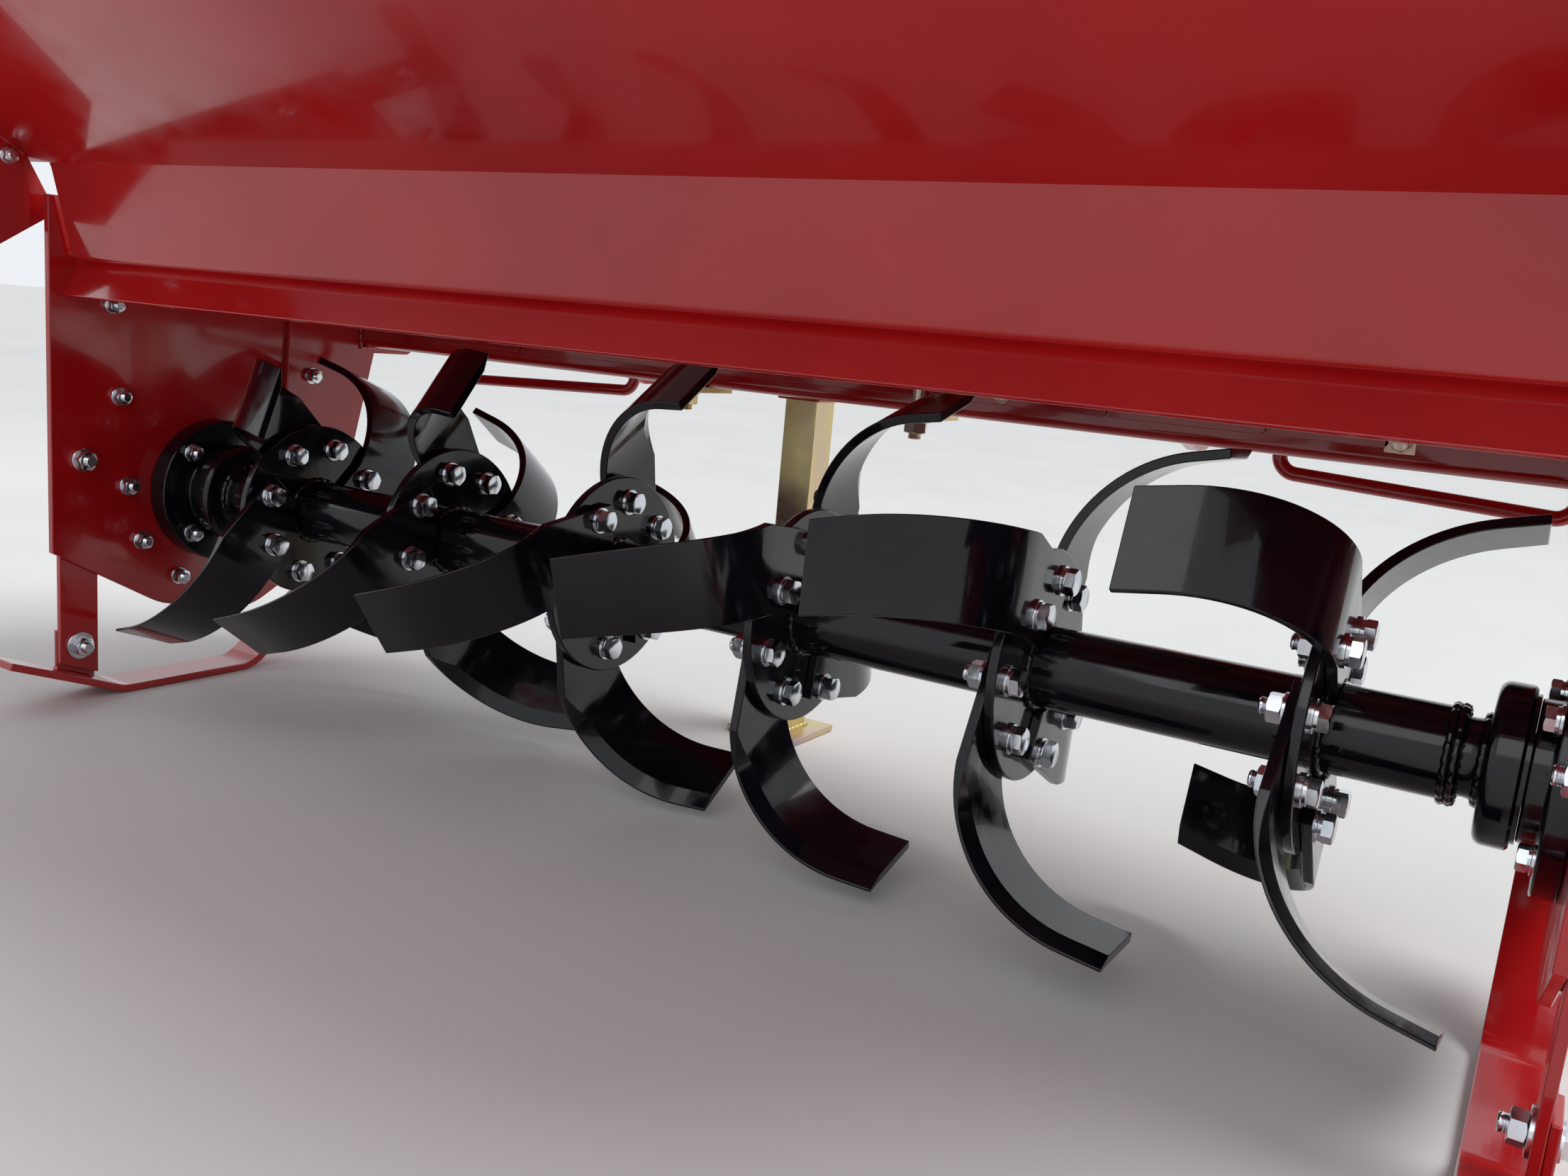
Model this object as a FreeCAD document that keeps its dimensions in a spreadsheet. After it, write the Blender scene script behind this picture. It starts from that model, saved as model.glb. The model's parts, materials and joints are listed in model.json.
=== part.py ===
"""Rotavator: a tractor-mounted rotary tiller, standing on its skids and its parking leg.

Millimetres and degrees, +X to the right as seen from behind, +Y forward, +Z up. The origin is
the tip of the input shaft. Most places are counted from the rotor's own axis, which lies
pto_reach behind that tip and pto_rise below it.
"""
import FreeCAD, Part
import math
import os
import re
from FreeCAD import Placement, Rotation, Vector

import Sketcher

# alias, millimetres or degrees, what it is
SIZES = (
    ("pto_reach", 210, "rotor axis to the input shaft's tip, forward"),
    ("pto_rise", 400, "rotor axis up to the input shaft"),
    ("floor_drop", 218, "rotor axis down to the skids' soles"),
    ("plate_half", 692, "middle of the machine to a side plate's inner face"),
    ("plate_wall", 8, "side plate thickness"),
    ("plate_back", 190, "rotor axis back to the side plates' rear edge"),
    ("plate_top", 306, "rotor axis up to the side plates' top edge"),
    ("plate_rear_low", 60, "rotor axis down to the side plates' rear corner"),
    ("belly_back", 66, "rotor axis back to the bend behind the belly"),
    ("belly_back_low", 129, "rotor axis down to that bend"),
    ("belly_forward", 48, "rotor axis forward to the belly's bend"),
    ("plate_belly", 150, "rotor axis down to that bend"),
    ("chin_forward", 158, "rotor axis forward to the side plates' chin"),
    ("chin_low", 90, "rotor axis down to the chin"),
    ("throat_forward", 204, "rotor axis forward to the bend under the toolbar"),
    ("throat_up", 51, "rotor axis up to that bend"),
    ("brow_forward", 232, "rotor axis forward to where the front edge meets the toolbar"),
    ("plate_lap", 8, "side plates past the toolbar, below"),
    ("plate_nose", 6, "side plates past the toolbar, in front"),
    ("plate_nose_top", 10, "side plates past the toolbar, above"),
    ("belly_round", 70, "rounding of the side plates' lower corners"),
    ("hood_top", 300, "rotor axis up to the hood's flat top"),
    ("hood_wall", 4, "hood sheet thickness"),
    ("hood_front_fold", 150, "rotor axis forward to the hood's front fold"),
    ("hood_rear_fold", 92, "rotor axis back to the hood's rear fold"),
    ("hood_front_inset", 6, "hood's front edge short of the toolbar's"),
    ("hood_rise_start", 4, "toolbar's rear edge to where the hood rises"),
    ("hood_bend", 8, "hood's bend radius"),
    ("lip_gap", 1, "hood's rear edge to the tailboard's rolled edge"),
    ("lip_below", 5, "that edge below the hinge"),
    ("lip_drop", 37, "height of the hood's rear lip"),
    ("lip_out", 22, "how far that lip leans back"),
    ("beam_back", 210, "rotor axis forward to the toolbar's rear face"),
    ("beam_low", 171, "rotor axis up to the toolbar's underside"),
    ("beam_size", 80, "toolbar, square outside"),
    ("beam_wall", 6, "toolbar wall"),
    ("beam_round", 10, "toolbar corner rounding"),
    ("strap_width", 45, "stiffening strap inside each side plate"),
    ("strap_wall", 7, "strap thickness"),
    ("strap_back", 103, "rotor axis forward to the strap's rear edge"),
    ("strap_low", 106, "rotor axis up to the strap's lower end"),
    ("strap_foot_back", 10, "strap's lower end behind its top"),
    ("strap_foot_width", 36, "strap's lower end"),
    ("strap_foot_drop", 6, "slant of that end"),
    ("hinge_back", 163, "rotor axis back to the tailboard's hinge"),
    ("hinge_up", 250, "rotor axis up to the tailboard's hinge"),
    ("hinge_rod_radius", 4, "hinge rod"),
    ("hinge_barrel_radius", 6.5, "rolled edge of the tailboard round that rod"),
    ("rod_clearance", 0.1, "hinge rod in the rolled edge"),
    ("board_wall", 4, "tailboard sheet thickness"),
    ("board_gap", 6, "tailboard to the side plates"),
    ("leaf_length", 90, "hinge to the tailboard's bend"),
    ("leaf_angle", 104, "leaf as raised, from straight ahead upwards"),
    ("panel_length", 335, "tailboard's main panel"),
    ("panel_angle", 148, "main panel as raised, from straight ahead upwards"),
    ("panel_overhang", 8, "main panel past the wings"),
    ("panel_return", 22, "stiffening edge at the main panel's end"),
    ("panel_bend", 7, "bend radius of that edge"),
    ("wing_gap", 12, "tailboard wing to the side plate"),
    ("wing_wall", 3, "tailboard wing thickness"),
    ("flange_count", 6, "rotor flanges"),
    ("first_flange", 175, "left plate to the first rotor flange"),
    ("last_flange", 159, "right plate to the last rotor flange"),
    ("flange_radius", 92, "rotor flange"),
    ("flange_wall", 8, "rotor flange thickness"),
    ("flange_turn", 18, "each flange turned on from the one before it"),
    ("first_turn", -27.29, "bolt slot of the first flange, from the top forwards"),
    ("tube_radius", 32, "rotor tube"),
    ("neck_radius", 27, "rotor tube's narrower right end"),
    ("neck_length", 16, "that end"),
    ("collar_radius", 55, "collar at each end of the rotor tube"),
    ("collar_width", 22, "collar width"),
    ("collar_gap", 3, "collar to the bearing housing's nose"),
    ("stub_radius", 25, "stub shaft in the bearing housing"),
    ("stub_clearance", 0.05, "stub shaft in the bearing housing"),
    ("stub_end_gap", 1, "stub shaft's end to the side plate"),
    ("housing_radius", 80, "bearing housing flange"),
    ("nose_radius", 48, "bearing housing nose"),
    ("nose_length", 13, "bearing housing nose"),
    ("left_housing_width", 25, "left bearing housing flange"),
    ("right_housing_width", 16, "right bearing housing flange"),
    ("bearing_cap_radius", 50, "outer cap over the right bearing"),
    ("bearing_cap_width", 22, "outer cap"),
    ("tine_width", 70.8, "tine band"),
    ("tine_wall", 8, "tine thickness"),
    ("tine_offset", 57.1, "rotor axis out to the middle of a tine's shank"),
    ("tine_heel", 30, "shank behind that middle"),
    ("tine_shank", 41.4, "shank before the bend"),
    ("tine_sweep", 50.2, "shank turned back from the tangent"),
    ("tine_bend_radius", 103.4, "sideways bend"),
    ("tine_bend", 84, "sideways bend angle"),
    ("tine_tip", 29, "straight end"),
    ("tine_lean", 0.417, "slope of the bend line across the band"),
    ("tine_drift", 0.28, "band drifting back along the bend"),
    ("tine_taper", 4.1, "narrowing of each side at the tip"),
    ("heel_clearance", 4, "tine heel cut back from the rotor tube"),
    ("case_foot", 122, "drive case round the rotor's end"),
    ("case_crown", 145, "drive case round the cross shaft"),
    ("case_width", 58, "drive case"),
    ("case_cover_width", 10, "drive case cover"),
    ("case_cover_inset", 14, "cover inside the drive case's outline"),
    ("case_boss_width", 9, "bosses on the drive case cover"),
    ("case_low_boss", 48, "boss over the rotor's end, radius"),
    ("case_high_boss", 60, "boss over the cross shaft's end, radius"),
    ("cross_tube_radius", 38, "cross shaft tube"),
    ("cross_flange_radius", 74, "cross shaft tube's end flange"),
    ("cross_flange_width", 12, "that flange"),
    ("gearbox_half_width", 85, "gearbox casting, across"),
    ("gearbox_half_length", 90, "gearbox casting, along"),
    ("gearbox_bevel", 38, "gearbox casting's cut corners"),
    ("gearbox_foot_inset", 12, "gearbox casting's foot, shorter at each end"),
    ("gearbox_foot_lap", 24, "that foot past the casting, at each side"),
    ("gearbox_foot_height", 15, "that foot's thickness"),
    ("gearbox_round", 14, "gearbox casting's rounded edges"),
    ("front_cover_radius", 86, "gearbox front cover"),
    ("front_cover_width", 26, "gearbox front cover"),
    ("rear_cover_radius", 70, "gearbox rear cover"),
    ("rear_cover_width", 14, "gearbox rear cover"),
    ("side_cover_radius", 66, "gearbox right cover"),
    ("side_cover_width", 16, "gearbox right cover"),
    ("pto_radius", 17.45, "input shaft, 1 3/8 inch"),
    ("journal_radius", 22, "input shaft in the front cover"),
    ("journal_length", 27, "input shaft before its splined end"),
    ("journal_clearance", 0.05, "input shaft in the front cover, all round"),
    ("journal_end_gap", 1, "input shaft's inner end to the gearbox casting"),
    ("shield_half", 84, "input shaft shield, half width outside"),
    ("shield_wall", 4, "input shaft shield wall"),
    ("shield_length", 96, "input shaft shield"),
    ("shield_skirt", 30, "shield below the input shaft"),
    ("shield_round", 62, "shield's upper corners"),
    ("mast_foot_half", 170, "mast upright's foot, from the middle"),
    ("mast_head_half", 32, "half the gap between the mast's heads"),
    ("mast_bar", 12, "mast upright, thickness"),
    ("mast_foot_bar", 12.7, "mast upright's thickness along the toolbar"),
    ("mast_depth", 60, "mast upright, front to back"),
    ("mast_back", 222, "rotor axis forward to the mast's rear face"),
    ("mast_knee", 600, "rotor axis up to where the uprights turn vertical"),
    ("mast_top", 684, "rotor axis up to the mast's top"),
    ("top_link_up", 650, "rotor axis up to the top link pin"),
    ("top_pin_radius", 9.5, "top link pin, category 1"),
    ("top_pin_clearance", 0.25, "top link pin in the mast"),
    ("top_pin_end", 12, "top link pin past the mast"),
    ("stay_bar", 10, "mast stay thickness"),
    ("stay_depth", 44, "mast stay width"),
    ("stay_head_lap", 8, "mast stay's upper end over the mast's rear face, and short of it"),
    ("stay_head_low", 30, "mast's top down to the stay's lower corner"),
    ("stay_head_high", 4, "mast's top down to the stay's upper corner"),
    ("stay_foot_back", 50, "rotor axis back to the stay's lower end"),
    ("lug_height", 34, "lug on the gearbox for the stays"),
    ("lug_length", 50, "that lug, front to back"),
    ("link_half", 341.5, "lower link shoulder, from the middle, category 1"),
    ("link_up", 190, "rotor axis up to the lower link pins"),
    ("link_forward", 350, "rotor axis forward to the lower link pins"),
    ("link_plate", 14, "lower link plate thickness"),
    ("link_pin_radius", 11, "lower link pin, category 1"),
    ("link_pin_length", 60, "lower link pin past its shoulder"),
    ("link_nose", 30, "lower link plate round the pin"),
    ("link_round", 28, "rounding of that end"),
    ("link_neck", 20, "pin back to where the plate widens"),
    ("skid_width", 50, "skid bar"),
    ("skid_wall", 8, "skid bar thickness"),
    ("skid_tail_back", 250, "rotor axis back to the skid's rear tip"),
    ("skid_tail_up", 46, "rear tip above the sole"),
    ("skid_sole_back", 125, "rotor axis back to where the sole starts"),
    ("skid_sole_front", 40, "rotor axis forward to where the sole ends"),
    ("skid_toe_forward", 196, "rotor axis forward to the skid's front tip"),
    ("skid_toe_up", 120, "front tip above the sole"),
    ("skid_bend", 45, "skid bend radius"),
    ("hanger_width", 42, "skid hanger"),
    ("hanger_wall", 7, "skid hanger thickness"),
    ("hanger_lift", 6, "hanger's lower end above the runner"),
    ("hanger_rear_back", 157, "rotor axis back to the rear hanger's middle"),
    ("rear_bolt_up", 38, "bolt that holds the rear hanger, above the rotor axis"),
    ("hanger_front", 169, "rotor axis forward to the front hanger's middle"),
    ("front_bolt_up", 2, "bolt that holds the front hanger, above the rotor axis"),
    ("slot_half", 6.5, "half the hangers' slot width"),
    ("slot_length", 70, "hangers' slot"),
    ("slot_margin", 9, "slot from the hanger's top"),
    ("ear_wall", 6, "skid's ear, outside the hanger"),
    ("ear_height", 50, "skid's ear, that each hanger is bolted to"),
    ("ear_hole_up", 32, "bolt hole above the ear's foot"),
    ("ear_hole_radius", 6.5, "that hole"),
    ("hoop_radius", 6.5, "guard rail rod"),
    ("hoop_forward", 262, "rotor axis forward to the guard rails"),
    ("hoop_inner_up", 155, "guard rail's inner end, above the rotor axis"),
    ("hoop_outer_up", 143, "guard rail's outer end, above the rotor axis"),
    ("hoop_bend", 16, "guard rail's bend radius"),
    ("hoop_spread", 14, "guard rail's ends leaning in towards each other"),
    ("left_hoop_inset", 117, "left plate to the left guard rail"),
    ("left_hoop_length", 295, "left guard rail"),
    ("right_hoop_inset", 24, "right plate to the right guard rail"),
    ("right_hoop_length", 252, "right guard rail"),
    ("leg_left", 87, "middle of the machine left to the parking leg"),
    ("leg_size", 40, "parking leg, square outside"),
    ("leg_wall", 4, "parking leg's wall"),
    ("leg_pin_up", 230, "rotor axis up to the parking leg's locking pin"),
    ("leg_hole_radius", 6.5, "locking pin's hole"),
    ("leg_travel", 170, "parking leg up to its other hole, where it is stowed"),
    ("leg_length", 510, "parking leg"),
    ("leg_foot", 90, "parking leg's foot plate"),
    ("leg_foot_wall", 8, "foot plate thickness"),
    ("sleeve_gap", 0.5, "parking leg in its sleeve, each side"),
    ("sleeve_wall", 6, "sleeve wall"),
    ("sleeve_height", 92, "sleeve height"),
    ("sleeve_low", 6, "sleeve below the toolbar"),
)

SIDES = (("left", -1), ("right", 1))
WORD = re.compile(r"[a-z]+(?:_[a-z]+)+")

doc = FreeCAD.newDocument("rotavator")
sheet = doc.addObject("Spreadsheet::Sheet", "sizes")
for line, (alias, number, meaning) in enumerate(SIZES, start=1):
    sheet.set(f"A{line}", meaning)
    sheet.set(f"B{line}", str(number))
    sheet.setAlias(f"B{line}", alias)
doc.recompute()


class Sizes:
    """The sheet's numbers by name, for the shapes that are worked out here."""

    def __init__(self):
        for alias, _, _ in SIZES:
            setattr(self, alias, float(sheet.get(alias)))


size = Sizes()
NAMES = {alias for alias, _, _ in SIZES}
nodes = []


def tie(item, path, rule):
    """Bind a property to a rule written with the sheet's names."""
    full = WORD.sub(lambda hit: "sizes." + hit.group() if hit.group() in NAMES else hit.group(), rule)
    item.setExpression(path, full)


def settle(item, x="0", y="0", z="0"):
    """Place an item from the middle of the machine and the rotor's axis."""
    tie(item, "Placement.Base.x", x)
    tie(item, "Placement.Base.y", f"-pto_reach + ({y})")
    tie(item, "Placement.Base.z", f"-pto_rise + ({z})")


def keep(item, name):
    """Make an item a sub-part with a name of its own."""
    item.Label = name
    nodes.append(item)
    return item


AXIS_TURN = {
    "X": Rotation(Vector(0, 1, 0), 90),
    "Y": Rotation(Vector(1, 0, 0), -90),
    "Z": Rotation(),
}


def rod(axis, radius, length, x="0", y="0", z="0"):
    """A cylinder from a point, along +X, +Y or +Z."""
    item = doc.addObject("Part::Cylinder", "rod")
    item.Placement = Placement(Vector(), AXIS_TURN[axis])
    tie(item, "Radius", radius)
    tie(item, "Height", length)
    settle(item, x, y, z)
    return item


def block(length, width, height, x="0", y="0", z="0"):
    """A box from its low corner: lengths along X, Y and Z."""
    item = doc.addObject("Part::Box", "block")
    tie(item, "Length", length)
    tie(item, "Width", width)
    tie(item, "Height", height)
    settle(item, x, y, z)
    return item


def fuse(*items):
    joined = doc.addObject("Part::MultiFuse", "fused")
    joined.Shapes = list(items)
    joined.Refine = True
    return joined


def cut(base, tool):
    left = doc.addObject("Part::Cut", "cut")
    left.Base = base
    left.Tool = tool
    return left


PLANES = {"YZ": "YZ_Plane", "XZ": "XZ_Plane", "XY": "XY_Plane"}
ROUGH_RADIUS = 100      # an outline starts as this polygon, until its rules move its corners


def prism(name, plane, loops, depth, x="0", y="0", z="0"):
    """A body padded from closed outlines; a row is (across, up, corner rounding or None).

    YZ pads towards +X, XZ towards -Y and XY towards +Z.
    """
    body = doc.addObject("PartDesign::Body", name)
    sketch = body.newObject("Sketcher::SketchObject", name + "_outline")
    base = [item for item in body.Origin.OriginFeatures if item.Role == PLANES[plane]][0]
    sketch.AttachmentSupport = [(base, "")]
    sketch.MapMode = "FlatFace"
    first = 0
    for loop in loops:
        count = len(loop)
        for i in range(count):
            turn, step = 2 * math.pi * i / count, 2 * math.pi * (i + 1) / count
            sketch.addGeometry(Part.LineSegment(
                Vector(ROUGH_RADIUS * math.cos(turn), ROUGH_RADIUS * math.sin(turn), 0),
                Vector(ROUGH_RADIUS * math.cos(step), ROUGH_RADIUS * math.sin(step), 0)), False)
        for i in range(count):
            following = first + (i + 1) % count
            sketch.addConstraint(Sketcher.Constraint("Coincident", first + i, 2, following, 1))
        for i, (across, up, _) in enumerate(loop):
            for kind, rule in (("DistanceX", across), ("DistanceY", up)):
                spot = sketch.addConstraint(Sketcher.Constraint(kind, first + i, 1, 10.0))
                tie(sketch, f"Constraints[{spot}]", rule)
        first += count
    pad = body.newObject("PartDesign::Pad", name + "_pad")
    pad.Profile = sketch
    tie(pad, "Length", depth)
    doc.recompute()
    last = pad
    for loop_index, loop in enumerate(loops):
        start = sum(len(before) for before in loops[:loop_index])
        for rounding in sorted({row[2] for row in loop if row[2]}):
            corners = [sketch.Geometry[start + i].StartPoint
                       for i, row in enumerate(loop) if row[2] == rounding]
            fillet = body.newObject("PartDesign::Fillet", name + "_round")
            fillet.Base = (last, upright_edges(last.Shape, plane, corners))
            tie(fillet, "Radius", rounding)
            last.Visibility = False
            body.Tip = fillet
            doc.recompute()
            last = fillet
    settle(body, x, y, z)
    return body


def upright_edges(shape, plane, corners):
    """Names of the edges that stand on given corners of a padded outline."""
    pick = {"YZ": lambda v: (v.y, v.z), "XZ": lambda v: (v.x, v.z), "XY": lambda v: (v.x, v.y)}[plane]
    found = []
    for number, edge in enumerate(shape.Edges, start=1):
        ends = [pick(vertex.Point) for vertex in edge.Vertexes]
        if len(ends) == 2 and math.dist(*ends) < 1e-4:
            if any(math.dist(ends[0], (c.x, c.y)) < 1e-3 for c in corners):
                found.append(f"Edge{number}")
    return found


def worked(name, shape, x=0.0, y=0.0, z=0.0):
    """A sub-part whose shape is worked out here, from the middle and the rotor's axis."""
    item = doc.addObject("Part::Feature", name)
    item.Shape = shape
    item.Placement = Placement(Vector(x, y - size.pto_reach, z - size.pto_rise), Rotation())
    return keep(item, name)


def rounded_path(points, radius):
    """A wire of straight runs joined by tangent arcs."""
    edges, at = [], points[0]
    for before, corner, after in zip(points, points[1:], points[2:]):
        back, ahead = (before - corner).normalize(), (after - corner).normalize()
        half = back.getAngle(ahead) / 2
        reach = radius / math.tan(half)
        start, end = corner + back * reach, corner + ahead * reach
        middle = corner + (back + ahead).normalize() * (radius / math.sin(half) - radius)
        edges += [Part.makeLine(at, start), Part.Arc(start, middle, end).toShape()]
        at = end
    edges.append(Part.makeLine(at, points[-1]))
    return Part.Wire(edges)


def folded(points, wall, bend, left, right):
    """Sheet bent along X: points (forward, up) on one face, thickened to its right-hand side."""
    path = rounded_path([Vector(0, y, z) for y, z in points], bend)
    turned = path.makeOffset2D(wall, 0, False, True)
    face = ruled_band(path, turned)
    face.translate(Vector(left, 0, 0))
    return face.extrude(Vector(right - left, 0, 0))


def ruled_band(path, turned):
    """The flat face between an open wire and its offset."""
    a, b = path.OrderedVertexes[0].Point, path.OrderedVertexes[-1].Point
    c, d = turned.OrderedVertexes[0].Point, turned.OrderedVertexes[-1].Point
    if a.distanceToPoint(c) > a.distanceToPoint(d):
        c, d = d, c
    edges = path.Edges + turned.Edges + [Part.makeLine(a, c), Part.makeLine(b, d)]
    return Part.Face(Part.Wire(Part.__sortEdges__(edges)))


def polar(angle, length):
    """A step (forward, up) at an angle from straight ahead upwards."""
    return (length * math.cos(math.radians(angle)), length * math.sin(math.radians(angle)))


# Side plates: straight rear edge, round belly, and a shoulder that takes the toolbar's end.
BEAM_FRONT = "beam_back + beam_size"
BEAM_TOP = "beam_low + beam_size"
PLATE_ROWS = (
    ("-plate_back", "plate_top", None),
    ("-plate_back", "-plate_rear_low", None),
    ("-belly_back", "-belly_back_low", "belly_round"),
    ("belly_forward", "-plate_belly", "belly_round"),
    ("chin_forward", "-chin_low", "belly_round"),
    ("throat_forward", "throat_up", "belly_round"),
    ("brow_forward", "beam_low - plate_lap", None),
    (BEAM_FRONT + " + plate_nose", "beam_low - plate_lap", "beam_round"),
    (BEAM_FRONT + " + plate_nose", BEAM_TOP + " + plate_nose_top", "beam_round"),
    ("hood_front_fold + plate_nose", "plate_top", None),
)
for side, sign in SIDES:
    start = "plate_half" if sign > 0 else "-plate_half - plate_wall"
    keep(prism("side_plate_" + side, "YZ", [PLATE_ROWS], "plate_wall", start), "side_plate_" + side)

# Toolbar between the plates.
INSIDE = "(beam_size - 2 * beam_wall)"
BEAM_ROWS = (
    ("beam_back", "beam_low", "beam_round"),
    (BEAM_FRONT, "beam_low", "beam_round"),
    (BEAM_FRONT, BEAM_TOP, "beam_round"),
    ("beam_back", BEAM_TOP, "beam_round"),
)
BEAM_HOLLOW = (
    ("beam_back + beam_wall", "beam_low + beam_wall", None),
    (f"beam_back + beam_wall + {INSIDE}", "beam_low + beam_wall", None),
    (f"beam_back + beam_wall + {INSIDE}", f"beam_low + beam_wall + {INSIDE}", None),
    ("beam_back + beam_wall", f"beam_low + beam_wall + {INSIDE}", None),
)
keep(prism("toolbar", "YZ", [BEAM_ROWS, BEAM_HOLLOW], "2 * plate_half", "-plate_half"), "toolbar")

# Hood: one folded sheet from the toolbar's top over the rotor to the lip under the hinge.
beam_top = size.beam_low + size.beam_size
lip = (-size.hinge_back + size.hinge_barrel_radius + size.lip_gap, size.hinge_up - size.lip_below)
hood_points = (
    (size.beam_back + size.beam_size - size.hood_front_inset, beam_top + size.hood_wall),
    (size.beam_back + size.hood_rise_start, beam_top + size.hood_wall),
    (size.hood_front_fold, size.hood_top),
    (-size.hood_rear_fold, size.hood_top),
    lip,
    (lip[0] - size.lip_out, lip[1] - size.lip_drop),
)
worked("hood", folded(hood_points, -size.hood_wall, size.hood_bend, -size.plate_half, size.plate_half))

# Straps that stiffen the plates from inside, up to the hood.
for side, sign in SIDES:
    start = "plate_half - strap_wall" if sign > 0 else "-plate_half"
    rows = (
        ("strap_back - strap_foot_back", "strap_low", None),
        ("strap_back - strap_foot_back + strap_foot_width", "strap_low - strap_foot_drop", None),
        ("strap_back + strap_width", "hood_top - hood_wall", None),
        ("strap_back", "hood_top - hood_wall", None),
    )
    keep(prism("plate_strap_" + side, "YZ", [rows], "strap_wall", start), "plate_strap_" + side)

# Skids: a bent runner with two ears under each plate, hung by slotted bars on the plate's outer face.
sole = -size.floor_drop
tail_slope = size.skid_tail_up / (size.skid_tail_back - size.skid_sole_back)
toe_slope = size.skid_toe_up / (size.skid_toe_forward - size.skid_sole_front)
RUNNER = (
    (-size.skid_tail_back, sole + size.skid_tail_up),
    (-size.skid_sole_back, sole),
    (size.skid_sole_front, sole),
    (size.skid_toe_forward, sole + size.skid_toe_up),
)
# middle, bolt's height, slope of the runner there, where that slope starts
HANGERS = (
    (-size.hanger_rear_back, size.rear_bolt_up, -tail_slope, -size.skid_sole_back),
    (size.hanger_front, size.front_bolt_up, toe_slope, size.skid_sole_front),
)


def bar_on_runner(middle, slope, begin, lift, top, x, wall):
    """An upright bar whose lower end follows the runner's slope, lift above it."""
    half = size.hanger_width / 2
    low = [sole + slope * (y - begin) + size.skid_wall * math.hypot(1, slope) + lift
           for y in (middle - half, middle + half)]
    outline = [Vector(x, middle - half, low[0]), Vector(x, middle + half, low[1]),
               Vector(x, middle + half, top), Vector(x, middle - half, top)]
    return Part.Face(Part.makePolygon(outline + outline[:1])).extrude(Vector(wall, 0, 0))


def drill(radius, x, y, z):
    """A cylinder through everything that hangs at one side."""
    return Part.makeCylinder(radius, size.skid_width, Vector(x - size.skid_width / 2, y, z), Vector(1, 0, 0))


for side, sign in SIDES:
    under = sign * size.plate_half
    runner = folded(RUNNER, -size.skid_wall, size.skid_bend, under - size.skid_width / 2,
                    under + size.skid_width / 2)
    ears, bars = [], []
    for middle, bolt_up, slope, begin in HANGERS:
        foot = sole + slope * (middle - begin) + size.skid_wall * math.hypot(1, slope)
        hole = drill(size.ear_hole_radius, under, middle, foot + size.ear_hole_up)
        out = size.plate_wall + size.hanger_wall
        x = under + (out if sign > 0 else -out - size.ear_wall)
        ears.append(bar_on_runner(middle, slope, begin, 0, foot + size.ear_height, x, size.ear_wall).cut(hole))
        x = under + (size.plate_wall if sign > 0 else -size.plate_wall - size.hanger_wall)
        top = bolt_up + size.slot_half + size.slot_margin
        bar = bar_on_runner(middle, slope, begin, size.hanger_lift, top, x, size.hanger_wall)
        low = bolt_up - size.slot_length + 2 * size.slot_half
        slot = drill(size.slot_half, under, middle, bolt_up).fuse([
            drill(size.slot_half, under, middle, low),
            Part.makeBox(size.skid_width, 2 * size.slot_half, bolt_up - low,
                         Vector(under - size.skid_width / 2, middle - size.slot_half, low))]).removeSplitter()
        bars.append(bar.cut(slot).cut(hole))
    worked("skid_" + side, runner.fuse(ears).removeSplitter())
    worked("skid_hangers_" + side, Part.makeCompound(bars))

# Guard rails under the toolbar: round rod, both ends turned up to the toolbar.
for side, sign in SIDES:
    inset = size.left_hoop_inset if sign < 0 else size.right_hoop_inset
    length = size.left_hoop_length if sign < 0 else size.right_hoop_length
    outer = sign * (size.plate_half - inset)
    inner = outer - sign * length
    root = size.beam_low + size.hoop_radius
    spine = rounded_path([
        Vector(inner + sign * size.hoop_spread, size.hoop_forward, root),
        Vector(inner, size.hoop_forward, size.hoop_inner_up),
        Vector(outer, size.hoop_forward, size.hoop_outer_up),
        Vector(outer - sign * size.hoop_spread, size.hoop_forward, root),
    ], size.hoop_bend)
    start = spine.OrderedEdges[0]
    ring = Part.Wire([Part.makeCircle(size.hoop_radius, start.valueAt(start.FirstParameter),
                                      start.tangentAt(start.FirstParameter))])
    above = Part.makeBox(4 * size.beam_size + length, size.beam_size, size.beam_size,
                         Vector(min(inner, outer) - 2 * size.beam_size, size.beam_back, size.beam_low))
    worked("guard_rail_" + side, spine.makePipe(Part.Face(ring)).cut(above))

# Drive case outside the left plate, tangent between the two shafts' rounds, with its cover.
def case_outline(inset):
    """Half width and height where the straight flanks meet the low and the high round."""
    lean = "((case_crown - case_foot) / pto_rise)"
    flat = f"sqrt(1 - {lean}^2)"
    low, high = f"(case_foot - {inset})", f"(case_crown - {inset})"
    return (
        (f"-{low} * {flat}", f"-{low} * {lean}", None),
        (f"{low} * {flat}", f"-{low} * {lean}", None),
        (f"{high} * {flat}", f"pto_rise - {high} * {lean}", None),
        (f"-{high} * {flat}", f"pto_rise - {high} * {lean}", None),
    )


def case_part(name, inset, width, start):
    flanks = prism(name + "_flanks", "YZ", [case_outline(inset)], width, start)
    low = rod("X", f"case_foot - {inset}", width, start)
    high = rod("X", f"case_crown - {inset}", width, start, "0", "pto_rise")
    return fuse(flanks, low, high)


CASE_FACE = "-plate_half - plate_wall - case_width"
COVER_FACE = f"{CASE_FACE} - case_cover_width"
keep(case_part("drive_case", "0", "case_width", CASE_FACE), "drive_case")
cover = case_part("drive_case_cover", "case_cover_inset", "case_cover_width", COVER_FACE)
low_boss = rod("X", "case_low_boss", "case_boss_width", f"{COVER_FACE} - case_boss_width")
high_boss = rod("X", "case_high_boss", "case_boss_width", f"{COVER_FACE} - case_boss_width",
                "0", "pto_rise")
keep(fuse(cover, low_boss, high_boss), "drive_case_cover")

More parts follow.
